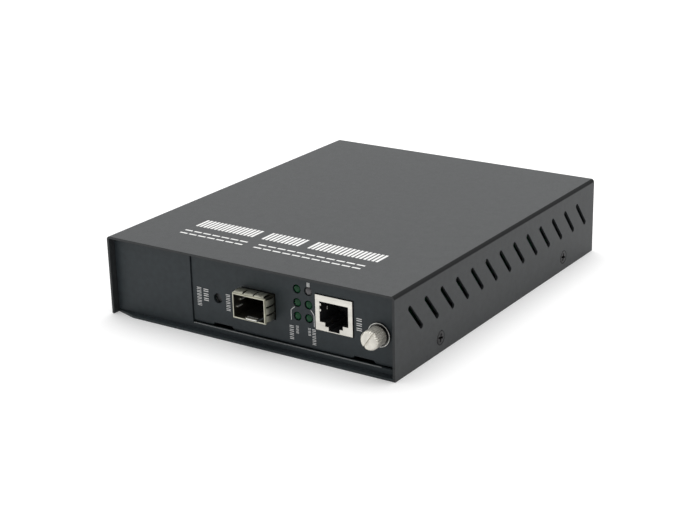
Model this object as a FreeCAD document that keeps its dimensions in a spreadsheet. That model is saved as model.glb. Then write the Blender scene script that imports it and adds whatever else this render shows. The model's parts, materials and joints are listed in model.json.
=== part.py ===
import FreeCAD, Part
import os
import Sketcher

# Fibre media converter: a small sheet metal chassis with a mains supply in its left bay
# and a slide-in converter module in its right bay, held by one captive thumbscrew.
# X runs across the front from left to right, Y from front to rear and Z up.
# The origin is the middle of the underside. All lengths are in millimetres.

SIZES = [
    # --- cover: one folded sheet, top and two sides
    ("cover_width", 132.0, "outside of one side to outside of the other"),
    ("cover_depth", 162.0, "front edge to rear edge"),
    ("cover_height", 32.4, "resting plane to the top"),
    ("cover_sheet", 1.0, "sheet thickness"),
    ("cover_bend", 1.5, "outer bend radius"),
    ("cover_lift", 0.1, "resting plane to the side's lower edge"),
    ("cover_play", 0.15, "cover side to tray flange"),
    ("slot_count", 13, "vent slots in each side"),
    ("slot_first", 14.15, "cover front edge to the first slot's middle"),
    ("slot_last", 12.49, "last slot's middle to the cover rear edge"),
    ("slot_width", 2.1, "across a slot"),
    ("slot_run", 7.9, "how far a slot leans back between its end centres"),
    ("slot_rise", 9.35, "how far a slot climbs between its end centres"),
    ("slot_level", 20.05, "resting plane to a slot's middle"),
    ("side_screw_first", 31.9, "cover front edge to the first side screw"),
    ("side_screw_pitch", 101.7, "first side screw to the second"),
    ("side_screw_level", 5.75, "resting plane to the side screws"),
    ("side_screw_head", 5.6, "countersunk head diameter"),
    ("side_screw_thread", 3.0, "thread diameter"),
    ("side_screw_head_depth", 0.9, "depth of the cone under the head"),
    ("side_screw_length", 4.5, "head face to tip"),
    ("side_screw_sink", 0.05, "head face below the cover"),
    ("side_screw_gap", 0.2, "head to its countersink"),
    ("cross_width", 0.9, "arm of a cross recess, across"),
    ("cross_span", 3.0, "arm of a cross recess, end to end"),
    ("cross_depth", 1.1, "depth of a cross recess"),
    ("thread_gap", 0.05, "thread to its tapped hole"),
    # --- base tray: one folded sheet, floor, front, rear and side flanges
    ("tray_sheet", 1.0, "sheet thickness"),
    ("tray_bend", 1.3, "outer bend radius"),
    ("front_inset", 3.0, "cover front edge to the front wall"),
    ("rear_inset", 0.5, "rear wall to cover rear edge"),
    ("top_play", 0.3, "front and rear wall to the cover top"),
    ("top_flange", 6.0, "width of the flanges under the cover top"),
    ("side_flange_height", 14.0, "height of the side flanges"),
    ("lip_height", 3.15, "front lip under the module"),
    ("toe_reach", 2.8, "floor in front of the front wall"),
    ("toe_corner", 9.5, "slanted left corner of the floor, across"),
    ("power_bay_width", 38.8, "cover side to the seam beside the module"),
    ("tap_collar", 1.0, "how far an extruded tapped hole stands in"),
    ("tap_wall", 0.8, "wall of an extruded tapped hole"),
    ("ear_width", 11.6, "flange that carries the module's screw, across"),
    ("ear_bottom", 13.0, "resting plane to the ear"),
    ("ear_height", 7.0, "height of the ear"),
    ("flange_play", 0.3, "module panel to the side flanges"),
    # --- bay divider
    ("divider_foot", 5.0, "foot flange under the power board"),
    ("divider_rear_gap", 1.5, "divider to the board's rear leg"),
    ("stop_width", 4.4, "flange that stops the module panel"),
    ("stop_bottom", 14.0, "resting plane to the stop flange"),
    ("stop_gap", 0.1, "module panel to its stop"),
    ("fold_play", 0.1, "sheet to the sheet it is folded under"),
    # --- card guides
    ("guide_depth", 3.6, "wall to the guide's open side"),
    ("guide_height", 5.2, "guide, top to bottom"),
    ("guide_front", 8.5, "front wall to the guide"),
    ("guide_length", 112.0, "length of a guide"),
    ("groove_depth", 2.0, "depth of a guide's groove"),
    ("groove_gap", 0.2, "board to groove, each side"),
    ("tab_width", 5.0, "guide tab, front to rear"),
    ("tab_height", 3.0, "guide tab, upright"),
    ("tab_inset", 14.0, "guide end to its tab"),
    ("tab_gap", 0.1, "guide tab to its window"),
    # --- power board and what stands on it
    ("power_board_sheet", 1.6, "board thickness"),
    ("power_board_level", 6.0, "resting plane to the board's underside"),
    ("power_board_length", 132.5, "board, front to rear"),
    ("board_edge_gap", 1.0, "board edge to the nearest wall"),
    ("leg_depth", 27.0, "rear leg of the board, front to rear"),
    ("leg_margin", 6.0, "board past the socket"),
    ("post_screw_length", 5.0, "post screw below its head"),
    ("support_width", 4.6, "snap-in support under the board"),
    ("support_neck", 2.6, "neck of a support in the board"),
    ("support_barb", 3.4, "barbs of a support above the board"),
    ("support_barb_height", 1.6, "barbs of a support"),
    ("support_gap", 0.1, "neck to its hole and barbs to the board"),
    ("board_hole_gap", 0.2, "post screw to its hole in the board"),
    ("inlet_hole_back", 21.0, "board rear edge to the support beside the fuse"),
    ("hole_margin", 3.6, "board edge to a support"),
    ("hole_clear_of_foot", 7.4, "board edge to a support beside the divider"),
    # --- mains inlet
    ("inlet_x", 20.0, "cover side to the middle of the inlet"),
    ("inlet_width", 27.0, "body across"),
    ("inlet_height", 20.0, "body height"),
    ("inlet_body_depth", 19.0, "rear wall face to the body's front end"),
    ("inlet_bezel_width", 31.0, "bezel across"),
    ("inlet_bezel_height", 24.0, "bezel height"),
    ("inlet_bezel_sheet", 2.0, "bezel thickness"),
    ("inlet_cut_gap", 0.2, "body to its cut-out"),
    ("recess_width", 24.6, "recess across"),
    ("recess_height", 16.8, "recess height"),
    ("recess_depth", 17.0, "recess depth"),
    ("recess_corner", 4.5, "slanted corners of the recess"),
    ("inlet_corner", 1.5, "rounded corners of the bezel"),
    ("blade_width", 4.0, "pin blade, upright"),
    ("blade_sheet", 2.0, "pin blade, across"),
    ("blade_length", 14.0, "pin blade in the recess"),
    ("blade_pitch", 14.0, "outer pins, centre to centre"),
    ("blade_offset", 2.0, "pins above and below the middle"),
    ("blade_tail", 3.0, "solder tail behind the body"),
    # --- mains parts on the power board: x from its left edge, y from its rear edge or its front edge
    ("fuse_x", 4.2, "fuse"),
    ("fuse_y", 34.5, "fuse"),
    ("fuse_length", 20.0, "fuse"),
    ("fuse_diameter", 5.4, "fuse"),
    ("clip_inset", 2.8, "fuse end to the middle of a clip"),
    ("fuse_level", 4.3, "board to the fuse's axis"),
    ("clip_sheet", 0.5, "fuse clip sheet"),
    ("clip_height", 7.0, "fuse clip"),
    ("clip_length", 4.0, "fuse clip along the fuse"),
    ("clip_gap", 0.05, "fuse to its clips"),
    ("line_cap_x", 19.0, "mains capacitor"),
    ("line_cap_y", 30.5, "mains capacitor"),
    ("line_cap_length", 17.5, "mains capacitor across"),
    ("line_cap_depth", 8.0, "mains capacitor front to rear"),
    ("line_cap_height", 14.0, "mains capacitor"),
    ("filter_x", 19.5, "line filter"),
    ("filter_y", 46.0, "line filter"),
    ("filter_width", 18.0, "line filter core across"),
    ("filter_height", 15.0, "line filter core"),
    ("filter_depth", 5.0, "line filter core front to rear"),
    ("filter_leg", 4.0, "line filter core section"),
    ("filter_coil", 8.6, "line filter winding, outside"),
    ("bridge_x", 4.5, "bridge rectifier"),
    ("bridge_y", 52.0, "bridge rectifier"),
    ("bridge_length", 14.0, "bridge rectifier"),
    ("bridge_sheet", 3.6, "bridge rectifier"),
    ("bridge_height", 10.5, "bridge rectifier"),
    ("bulk_x", 7.5, "bulk capacitor"),
    ("bulk_y", 69.5, "bulk capacitor"),
    ("bulk_diameter", 13.0, "bulk capacitor"),
    ("bulk_height", 19.0, "bulk capacitor"),
    ("sink_x", 23.1, "heat sink"),
    ("sink_y", 74.0, "heat sink"),
    ("sink_length", 34.0, "heat sink front to rear"),
    ("sink_plate", 2.2, "heat sink plate"),
    ("sink_fin", 5.2, "heat sink fin"),
    ("sink_fin_sheet", 1.4, "heat sink fin"),
    ("sink_fin_count", 7, "heat sink fins"),
    ("sink_height", 18.0, "heat sink"),
    ("device_width", 10.2, "power device across"),
    ("device_body", 4.4, "power device thickness"),
    ("device_tab", 1.3, "power device tab thickness"),
    ("device_height", 9.0, "power device body"),
    ("device_tab_height", 6.2, "power device tab"),
    ("device_lead", 2.6, "board to the power device body"),
    ("device_spacing", 19.0, "one power device to the other"),
    ("spring_width", 5.0, "spring clip across a device"),
    ("spring_sheet", 0.6, "spring clip sheet"),
    ("spring_reach", 6.0, "spring clip, sink top to its foot"),
    ("spring_bow", 1.2, "spring clip away from the device at its middle"),
    ("transformer_x", 10.8, "transformer"),
    ("transformer_y", 99.5, "transformer"),
    ("transformer_width", 21.0, "transformer core across"),
    ("transformer_height", 17.0, "transformer core"),
    ("transformer_depth", 6.4, "transformer core front to rear"),
    ("transformer_leg", 3.2, "transformer outer leg and yoke"),
    ("transformer_middle", 6.4, "transformer middle leg"),
    ("bobbin_wall", 0.9, "bobbin wall"),
    ("bobbin_depth", 17.0, "bobbin front to rear"),
    ("bobbin_gap", 0.15, "bobbin to core"),
    ("winding_depth", 14.5, "winding front to rear"),
    ("choke_x", 23.1, "output choke"),
    ("choke_y", 13.5, "output choke, from the front edge"),
    ("choke_diameter", 9.5, "output choke"),
    ("choke_height", 11.0, "output choke"),
    ("output_cap_x", 4.6, "output capacitors"),
    ("output_cap_y", 17.5, "output capacitors, from the front edge"),
    ("output_cap_diameter", 8.0, "output capacitor"),
    ("output_cap_height", 13.0, "output capacitor"),
    ("output_cap_pitch", 9.5, "output capacitors"),
    ("control_x", 24.9, "control chips"),
    ("control_y", 36.0, "rearmost control chip, from the front edge"),
    ("control_width", 6.4, "control chip across"),
    ("control_length", 9.4, "control chip front to rear"),
    ("control_height", 3.4, "control chip"),
    ("control_pitch", 11.4, "control chips"),
    ("control_count", 2, "control chips"),
    # --- socket for the module on the board's rear leg
    ("tongue_x", 43.2, "seam to the middle of the module's plug tongue"),
    ("tongue_width", 36.0, "plug tongue across"),
    ("tongue_length", 6.5, "plug tongue front to rear"),
    ("socket_wall", 3.0, "socket past the tongue"),
    ("socket_depth", 9.5, "socket front to rear"),
    ("socket_height", 8.0, "socket"),
    ("socket_front", 2.5, "front of the board's leg to the socket"),
    ("socket_slot", 2.8, "slot in the socket, upright"),
    ("socket_side_gap", 0.3, "tongue to the slot's ends"),
    ("socket_contact_gap", 0.1, "tongue to a contact"),
    ("contact_width", 1.2, "socket contact across"),
    ("contact_pitch", 3.6, "socket contacts"),
    ("contact_count", 10, "socket contacts in a row"),
    ("contact_length", 5.0, "socket contact in the slot"),
    # --- module panel
    ("panel_sheet", 1.0, "panel thickness"),
    ("panel_recess", 0.5, "panel behind the front wall"),
    ("panel_gap", 0.4, "panel to the opening round it"),
    ("panel_foot_gap", 0.15, "panel to the lip under it"),
    ("panel_flange", 11.0, "bottom flange of the panel"),
    ("panel_bend", 1.3, "outer bend radius"),
    ("notch_inset", 13.9, "panel edge to a notch's middle"),
    ("notch_width", 10.8, "notch at the panel's lower edge"),
    ("notch_slope", 1.2, "slanted end of a notch"),
    ("notch_height", 1.6, "notch height"),
    ("notch_reach", 4.0, "notch in the bottom flange"),
    # --- module board
    ("module_board_level", 10.5, "resting plane to the board's underside"),
    ("module_board_sheet", 1.6, "board thickness"),
    ("module_board_front", 1.2, "panel to the board"),
    ("module_board_rear", 0.7, "board to the socket"),
    ("post_back", 6.0, "panel to a post"),
    ("post_left_inset", 6.4, "panel edge to the left post"),
    ("post_right_inset", 14.8, "panel edge to the right post"),
    ("post_diameter", 5.0, "hexagonal post under the board, across its flats"),
    ("post_screw_thread", 2.5, "post screw thread"),
    ("post_screw_head", 4.6, "post screw head"),
    ("post_screw_head_height", 1.5, "post screw head"),
    # --- transceiver cage
    ("cage_offset", 0.85, "cage right of the middle between reset hole and lamps"),
    ("cage_width", 14.6, "cage across"),
    ("cage_height", 9.6, "cage height"),
    ("cage_length", 48.0, "cage front to rear"),
    ("cage_reach", 6.3, "cage in front of the panel"),
    ("cage_wall", 0.35, "cage sheet"),
    ("cage_opening_gap", 0.45, "cage to its opening in the panel"),
    ("latch_offset", 0.9, "latch tongue beside the middle"),
    ("latch_width", 5.4, "latch tongue across"),
    ("latch_length", 11.0, "latch tongue front to rear"),
    ("latch_slit", 0.5, "slit beside the latch tongue"),
    ("latch_lift", 0.75, "latch tongue above the cage floor at the mouth"),
    ("finger_sheet", 0.2, "spring finger sheet"),
    ("finger_start", 0.3, "cage mouth to the fingers' band"),
    ("finger_band", 0.5, "band that joins the fingers"),
    ("finger_length", 5.0, "band to a finger's tip"),
    ("finger_bow", 0.6, "how far a finger bows out"),
    ("finger_slit", 0.7, "between two fingers"),
    ("finger_corner", 0.6, "cage corner to the first finger"),
    ("top_finger_count", 3, "fingers over the cage"),
    ("top_finger_shift", 0.5, "fingers over the cage, left of the middle"),
    ("side_finger_count", 3, "fingers beside the cage"),
    ("finger_gap", 0.03, "fingers to the cage"),
    ("host_width", 9.4, "transceiver socket across"),
    ("host_depth", 8.6, "transceiver socket front to rear"),
    ("host_height", 6.2, "transceiver socket"),
    ("host_slot", 1.3, "slot in the transceiver socket"),
    ("host_slot_level", 3.4, "board to the middle of the slot"),
    ("host_slot_depth", 4.6, "slot depth"),
    ("host_contact_width", 0.4, "transceiver socket contact"),
    ("host_contact_count", 9, "transceiver socket contacts in a row"),
    ("host_contact_pitch", 0.8, "transceiver socket contacts"),
    # --- network jack
    ("jack_inset", 26.6, "cover side inner face to the middle of the jack"),
    ("jack_width", 16.0, "jack across"),
    ("jack_height", 13.6, "jack height"),
    ("jack_depth", 21.3, "jack front to rear"),
    ("jack_reach", 0.5, "jack in front of the panel"),
    ("jack_wall", 0.4, "shield sheet"),
    ("jack_opening_gap", 0.35, "jack to its opening in the panel"),
    ("port_width", 12.4, "port across"),
    ("port_top", 2.4, "shield top to the port"),
    ("port_height", 7.9, "port above its latch steps"),
    ("port_step_width", 7.7, "upper latch step across"),
    ("port_step", 1.5, "height of a latch step"),
    ("port_notch_width", 4.8, "lower latch step across"),
    ("port_depth", 12.5, "how deep the plug goes"),
    ("jack_contact_width", 0.5, "jack contact"),
    ("jack_contact_pitch", 1.27, "jack contacts"),
    ("jack_contact_count", 8, "jack contacts"),
    ("jack_contact_sheet", 0.35, "jack contact"),
    ("jack_contact_drop", 3.4, "how far a contact hangs into the port"),
    # --- indicator lights
    ("lamp_inset", 3.35, "right column to the jack"),
    ("lamp_column_pitch", 5.05, "column to column"),
    ("lamp_level", 15.3, "resting plane to the lowest row"),
    ("lamp_row_pitch", 5.3, "row to row"),
    ("lamp_diameter", 3.0, "lamp"),
    ("lamp_hole", 3.5, "hole in the panel"),
    ("lamp_reach", 0.35, "lamp in front of the panel"),
    ("holder_back", 0.6, "panel to the holder"),
    ("holder_depth", 6.5, "holder front to rear"),
    ("holder_wall", 2.2, "holder past a lamp's middle"),
    # --- reset button
    ("reset_x", 12.4, "seam to the reset hole"),
    ("reset_level", 15.1, "resting plane to the reset hole"),
    ("reset_hole", 4.0, "hole in the panel"),
    ("reset_cap", 3.4, "button cap"),
    ("reset_recess", 1.6, "panel face to the cap"),
    ("reset_cap_length", 3.2, "cap front to rear"),
    ("reset_stem", 2.2, "button stem"),
    ("reset_stem_in", 1.7, "stem inside the switch"),
    ("reset_travel", 0.3, "how far the button goes in"),
    ("reset_stop_gap", 0.2, "pressed button to its switch"),
    ("reset_gap", 0.06, "stem to its bore"),
    ("switch_width", 6.2, "switch across"),
    ("switch_depth", 4.6, "switch front to rear"),
    ("switch_height", 6.4, "switch"),
    # --- chips and other parts on the module board
    ("converter_offset", 2.0, "converter chip right of the middle between its neighbours"),
    ("converter_y", 8.5, "board's middle back to the converter chip"),
    ("converter_width", 20.0, "converter chip"),
    ("converter_leads", 8, "leads in a row of the converter chip"),
    ("management_inset", 22.2, "cover side inner face to the management chip"),
    ("management_y", 0.5, "board's middle back to the management chip"),
    ("management_width", 14.0, "management chip"),
    ("management_leads", 6, "leads in a row of the management chip"),
    ("chip_height", 1.6, "flat chip body"),
    ("chip_lift", 0.15, "board to a flat chip body"),
    ("lead_reach", 1.1, "leads past a flat chip"),
    ("lead_sheet", 0.2, "lead thickness"),
    ("memory_x", 14.0, "seam to the first memory chip"),
    ("memory_y", -3.5, "board's middle back to the memory chips"),
    ("memory_count", 2, "memory chips"),
    ("memory_width", 6.0, "memory chip across"),
    ("memory_length", 5.0, "memory chip front to rear"),
    ("memory_pitch", 9.0, "memory chips"),
    ("magnetics_offset", -0.1, "line transformer beside the jack's middle"),
    ("magnetics_y", 36.0, "panel to the line transformer"),
    ("magnetics_width", 12.7, "line transformer across"),
    ("magnetics_length", 9.4, "line transformer front to rear"),
    ("magnetics_height", 5.6, "line transformer"),
    ("crystal_x", 22.0, "crystals to the converter chip"),
    ("crystal_y", 14.5, "board's middle back to the first crystal"),
    ("crystal_count", 2, "crystals"),
    ("crystal_length", 11.0, "crystal across"),
    ("crystal_width", 4.6, "crystal front to rear"),
    ("crystal_height", 3.6, "crystal"),
    ("crystal_pitch", 9.0, "crystals"),
    ("inductor_x", 24.0, "seam to the power inductor"),
    ("inductor_inset", 17.8, "board's rear end to the power inductor"),
    ("inductor_width", 12.0, "power inductor"),
    ("inductor_height", 6.5, "power inductor"),
    ("module_cap_x", 40.0, "seam to the first module capacitor"),
    ("module_cap_inset", 15.8, "board's rear end to the module capacitors"),
    ("module_cap_count", 3, "module capacitors"),
    ("module_cap_diameter", 6.3, "module capacitor"),
    ("module_cap_height", 7.7, "module capacitor"),
    ("module_cap_pitch", 10.0, "module capacitors"),
    # --- thumbscrew
    ("screw_inset", 7.4, "cover side inner face to the thumbscrew's axis"),
    ("screw_level", 15.5, "resting plane to the thumbscrew's axis"),
    ("ferrule_flange", 9.2, "ferrule flange diameter"),
    ("ferrule_flange_sheet", 0.8, "ferrule flange"),
    ("ferrule_rim", 0.5, "raised rim of the ferrule flange"),
    ("ferrule_cup", 0.5, "depth of the ferrule inside its rim"),
    ("ferrule_barrel", 6.6, "ferrule barrel diameter"),
    ("ferrule_tail", 0.4, "ferrule behind the panel"),
    ("ferrule_fit", 0.03, "ferrule to its hole in the panel"),
    ("screw_thread", 3.0, "thumbscrew thread"),
    ("screw_bore_gap", 0.08, "thumbscrew shank to ferrule and ear"),
    ("knob_diameter", 7.4, "knob"),
    ("knob_length", 6.5, "knob"),
    ("knob_gap", 0.2, "knob to ferrule"),
    ("knob_chamfer", 0.5, "front edge of the knob"),
    ("knurl_count", 42, "knurl grooves"),
    ("knurl_depth", 0.24, "knurl groove depth"),
    ("knurl_width", 0.3, "knurl groove across"),
    ("driver_slot_width", 1.0, "driver slot"),
    ("driver_slot_depth", 1.0, "driver slot"),
    ("driver_slot_turn", 55.0, "driver slot, degrees from level"),
    ("screw_travel", 2.5, "how far the thumbscrew backs out"),
    ("screw_tip_past_ear", 2.5, "ear face to the screw's tip"),
    ("clip_diameter", 6.0, "retaining clip"),
    ("clip_ring_sheet", 0.5, "retaining clip"),
    ("clip_neck", 2.2, "neck under the retaining clip"),
    ("clip_mouth", 2.0, "opening of the retaining clip"),
    ("clip_ring_gap", 0.06, "retaining clip to its neck"),
    ("clip_side_gap", 0.05, "retaining clip to the sides of its neck and to the ferrule"),
    ("clip_room", 0.25, "retaining clip to the ear"),
]

doc = FreeCAD.newDocument("MediaConverter")
sheet = doc.addObject("Spreadsheet::Sheet", "Sizes")
for row, (alias, number, meaning) in enumerate(SIZES, start=1):
    sheet.set(f"A{row}", alias)
    sheet.set(f"B{row}", str(number))
    sheet.set(f"C{row}", meaning)
    sheet.setAlias(f"B{row}", alias)
doc.recompute()


class Term:
    """A length as a number and as the sheet formula that gives it."""

    def __init__(self, number, formula=None):
        self.number = float(number)
        self.formula = formula if formula else f"{float(number):.6f}"

    def join(self, sign, other, number):
        return Term(number, f"({self.formula} {sign} {term(other).formula})")

    def __add__(self, other):
        return self.join("+", other, self.number + term(other).number)

    def __sub__(self, other):
        return self.join("-", other, self.number - term(other).number)

    def __mul__(self, other):
        return self.join("*", other, self.number * term(other).number)

    def __truediv__(self, other):
        return self.join("/", other, self.number / term(other).number)

    def __radd__(self, other):
        return term(other) + self

    def __rsub__(self, other):
        return term(other) - self

    def __rmul__(self, other):
        return term(other) * self

    def __neg__(self):
        return term(0) - self


def term(value):
    return value if isinstance(value, Term) else Term(value)


class SizeTerms:
    """Gives the term of each alias in the sheet by its name."""

    numbers = {alias: number for alias, number, meaning in SIZES}

    def __getattr__(self, alias):
        return Term(self.numbers[alias], f"Sizes.{alias}")


size = SizeTerms()

V = FreeCAD.Vector
UPRIGHT = FreeCAD.Rotation()
TURNS = {
    "+x": FreeCAD.Rotation(V(0, 1, 0), 90),
    "-x": FreeCAD.Rotation(V(0, 1, 0), -90),
    "+y": FreeCAD.Rotation(V(1, 0, 0), -90),
    "-y": FreeCAD.Rotation(V(1, 0, 0), 90),
    "+z": UPRIGHT,
    "-z": FreeCAD.Rotation(V(1, 0, 0), 180),
}
NORMAL_SIGN = {"XY": 1, "XZ": -1, "YZ": 1}
HEX_POINT = 2 / 3 ** 0.5
NODES = {}


# ---------------------------------------------------------------- helpers
def bind(target, path, value):
    target.setExpression(path, term(value).formula)


def place(target, spot, facing="+z"):
    """Puts an object's own origin at a spot, with its own Z axis facing a way."""
    numbers = [term(value).number for value in spot]
    target.Placement = FreeCAD.Placement(V(*numbers), TURNS[facing])
    for letter, value in zip("xyz", spot):
        bind(target, f"Placement.Base.{letter}", value)


def node(name, shape_object):
    shape_object.Label = name
    NODES[name] = shape_object
    return shape_object


class Ring:
    """A circle in a sketch."""

    def __init__(self, across, up, diameter):
        self.across, self.up, self.diameter = term(across), term(up), term(diameter)

    def draw(self, sketch):
        centre = V(self.across.number, self.up.number, 0)
        edge = sketch.addGeometry(Part.Circle(centre, V(0, 0, 1), self.diameter.number / 2), False)
        pin(sketch, edge, 3, self.across, self.up)
        dimension(sketch, Sketcher.Constraint("Diameter", edge, self.diameter.number), self.diameter)


class Slot:
    """A round-ended slot in a sketch, from one end centre to the other."""

    def __init__(self, start, end, width):
        self.start = [term(value) for value in start]
        self.end = [term(value) for value in end]
        self.width = term(width)

    def draw(self, sketch):
        a = V(self.start[0].number, self.start[1].number, 0)
        b = V(self.end[0].number, self.end[1].number, 0)
        along = (b - a).normalize()
        side = V(-along.y, along.x, 0) * (self.width.number / 2)
        cap = along * (self.width.number / 2)
        first = sketch.addGeometry(Part.LineSegment(a + side, b + side), False)
        second = sketch.addGeometry(Part.LineSegment(b - side, a - side), False)
        far = sketch.addGeometry(Part.Arc(b - side, b + cap, b + side), False)
        near = sketch.addGeometry(Part.Arc(a + side, a - cap, a - side), False)
        for arc, arc_end, line, line_end in (
                (far, 1, second, 1), (far, 2, first, 2), (near, 1, first, 1), (near, 2, second, 2)):
            sketch.addConstraint(Sketcher.Constraint("Tangent", arc, arc_end, line, line_end))
        pin(sketch, far, 3, *self.end)
        pin(sketch, near, 3, *self.start)
        dimension(sketch, Sketcher.Constraint("Diameter", far, self.width.number), self.width)


class Corners:
    """A closed outline in a sketch, given by its corners in order."""

    def __init__(self, *corners):
        self.corners = [(term(across), term(up)) for across, up in corners]

    def draw(self, sketch):
        count = len(self.corners)
        spots = [V(across.number, up.number, 0) for across, up in self.corners]
        lines = [sketch.addGeometry(Part.LineSegment(spots[i], spots[(i + 1) % count]), False)
                 for i in range(count)]
        for i in range(count):
            following = lines[(i + 1) % count]
            sketch.addConstraint(Sketcher.Constraint("Coincident", lines[i], 2, following, 1))
        for axis, kind, level in ((0, "DistanceX", "Vertical"), (1, "DistanceY", "Horizontal")):
            for i in range(count):
                value = self.corners[i][axis]
                if i and value.formula == self.corners[i - 1][axis].formula:
                    sketch.addConstraint(Sketcher.Constraint(level, lines[i - 1]))
                else:
                    constraint = Sketcher.Constraint(kind, -1, 1, lines[i], 1, value.number)
                    dimension(sketch, constraint, value)


def dimension(sketch, constraint, value):
    index = sketch.addConstraint(constraint)
    sketch.setExpression(f"Constraints[{index}]", value.formula)


def pin(sketch, edge, end, across, up):
    dimension(sketch, Sketcher.Constraint("DistanceX", -1, 1, edge, end, across.number), across)
    dimension(sketch, Sketcher.Constraint("DistanceY", -1, 1, edge, end, up.number), up)


def oblong(across, up):
    """A rectangle from (low, high) across and (low, high) up."""
    return Corners((across[0], up[0]), (across[1], up[0]), (across[1], up[1]), (across[0], up[1]))


def new_body(name):
    return node(name, doc.addObject("PartDesign::Body", name))


def origin_plane(body, plane):
    return next(part for part in body.Origin.OriginFeatures if part.Role == plane + "_Plane")


def origin_axis(body, letter):
    return next(part for part in body.Origin.OriginFeatures if part.Role == letter.upper() + "_Axis")


def sketch_on(body, plane, level, outlines):
    """A sketch parallel to one of the body's origin planes, at a level along that plane's axis."""
    sketch = body.newObject("Sketcher::SketchObject", body.Name + "_sketch")
    sketch.AttachmentSupport = [(origin_plane(body, plane), "")]
    sketch.MapMode = "FlatFace"
    offset = term(level) * NORMAL_SIGN[plane]
    sketch.AttachmentOffset = FreeCAD.Placement(V(0, 0, offset.number), UPRIGHT)
    bind(sketch, "AttachmentOffset.Base.z", offset)
    for outline in outlines:
        outline.draw(sketch)
    return sketch


def sweep_between(kind, body, plane, low, high, outlines):
    """A pad or pocket of the outlines between two levels along the plane's axis."""
    low, high = term(low), term(high)
    feature = body.newObject("PartDesign::" + kind, body.Name + "_" + kind)
    feature.Profile = sketch_on(body, plane, (low + high) / 2, outlines)
    feature.SideType = "Symmetric"
    feature.Length = (high - low).number
    bind(feature, "Length", high - low)
    body.Tip = feature
    return feature


def pad(body, plane, low, high, *outlines):
    return sweep_between("Pad", body, plane, low, high, outlines)


def pocket(body, plane, low, high, *outlines):
    return sweep_between("Pocket", body, plane, low, high, outlines)


def cone_cut(body, spot, facing, wide, narrow, depth):
    """A countersink that starts at a spot and narrows the way it faces."""
    cone = body.newObject("PartDesign::SubtractiveCone", body.Name + "_countersink")
    bind(cone, "Radius1", wide / 2)
    bind(cone, "Radius2", narrow / 2)
    bind(cone, "Height", depth)
    place(cone, spot, facing)
    body.Tip = cone


def edges_along(shape, axis, spots):
    """Names of the straight edges parallel to an axis that pass through the given spots."""
    keep = [i for i in range(3) if i != "xyz".index(axis)]
    wanted = [tuple(term(value).number for value in spot) for spot in spots]
    names = []
    for number, edge in enumerate(shape.Edges, start=1):
        ends = [tuple(vertex.Point) for vertex in edge.Vertexes]
        if len(ends) != 2 or edge.Curve.TypeId != "Part::GeomLine":
            continue
        for spot in wanted:
            if all(abs(end[k] - value) < 1e-4 for end in ends for k, value in zip(keep, spot)):
                names.append(f"Edge{number}")
                break
    return names


def fillet(body, radius, axis, spots):
    """Rounds the edges of the body's last feature that run along an axis through the spots."""
    doc.recompute()
    base = body.Tip
    names = edges_along(base.Shape, axis, spots)
    if not names:
        raise ValueError(f"{body.Label}: no edge to round")
    feature = body.newObject("PartDesign::Fillet", body.Name + "_bend")
    feature.Base = (base, names)
    feature.Radius = term(radius).number
    bind(feature, "Radius", radius)
    body.Tip = feature


def repeat(body, feature, axis, pitch, count):
    """Repeats a feature along one of the body's axes."""
    pattern = body.newObject("PartDesign::LinearPattern", body.Name + "_row")
    pattern.Originals = [feature]
    pattern.Direction = (origin_axis(body, axis), [""])
    pattern.Mode = "Extent"
    bind(pattern, "Length", pitch * (count - 1))
    pattern.Length = (pitch * (count - 1)).number
    pattern.Occurrences = int(term(count).number)
    bind(pattern, "Occurrences", count)
    body.Tip = pattern


def turned(name, profile):
    """A body of revolution about its own Z axis, from (radius, height) corners."""
    body = doc.addObject("PartDesign::Body", name)
    feature = body.newObject("PartDesign::Revolution", body.Name + "_turning")
    feature.Profile = sketch_on(body, "XZ", 0, [Corners(*profile)])
    feature.ReferenceAxis = (origin_axis(body, "z"), [""])
    feature.Angle = 360
    body.Tip = feature
    return body


def copies(name, master, spots, facing="+z"):
    """One node holding a separate solid like the master at each spot."""
    links = []
    for spot in spots:
        link = doc.addObject("App::Link", name + "_copy")
        link.LinkedObject = master
        place(link, spot, facing if isinstance(facing, str) else facing[len(links)])
        links.append(link)
    return group(name, links)


def group(name, members):
    """One node holding separate solids."""
    compound = doc.addObject("Part::Compound", name)
    compound.Links = members
    return node(name, compound)


def block(across, deep, up):
    """A box from (low, high) along X, Y and Z."""
    box = doc.addObject("Part::Box", "Block")
    for side, (low, high) in zip(("Length", "Width", "Height"), (across, deep, up)):
        bind(box, side, term(high) - low)
    place(box, (across[0], deep[0], up[0]))
    return box


def rod(spot, facing, diameter, length):
    """A cylinder that starts at a spot."""
    cylinder = doc.addObject("Part::Cylinder", "Rod")
    bind(cylinder, "Radius", term(diameter) / 2)
    bind(cylinder, "Height", length)
    place(cylinder, spot, facing)
    return cylinder


def fused(*members):
    union = doc.addObject("Part::MultiFuse", "Union")
    union.Shapes = list(members)
    union.Refine = True
    return union


def cut(base, *tools):
    difference = doc.addObject("Part::Cut", "Difference")
    difference.Base = base
    difference.Tool = tools[0] if len(tools) == 1 else group_of(tools)
    return difference


def group_of(members):
    compound = doc.addObject("Part::Compound", "Tools")
    compound.Links = list(members)
    return compound


def about(middle, width):
    """The (low, high) pair of a width centred on a middle."""
    return (term(middle) - width / 2, term(middle) + width / 2)


def upward(low, height):
    return (term(low), term(low) + height)


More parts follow.
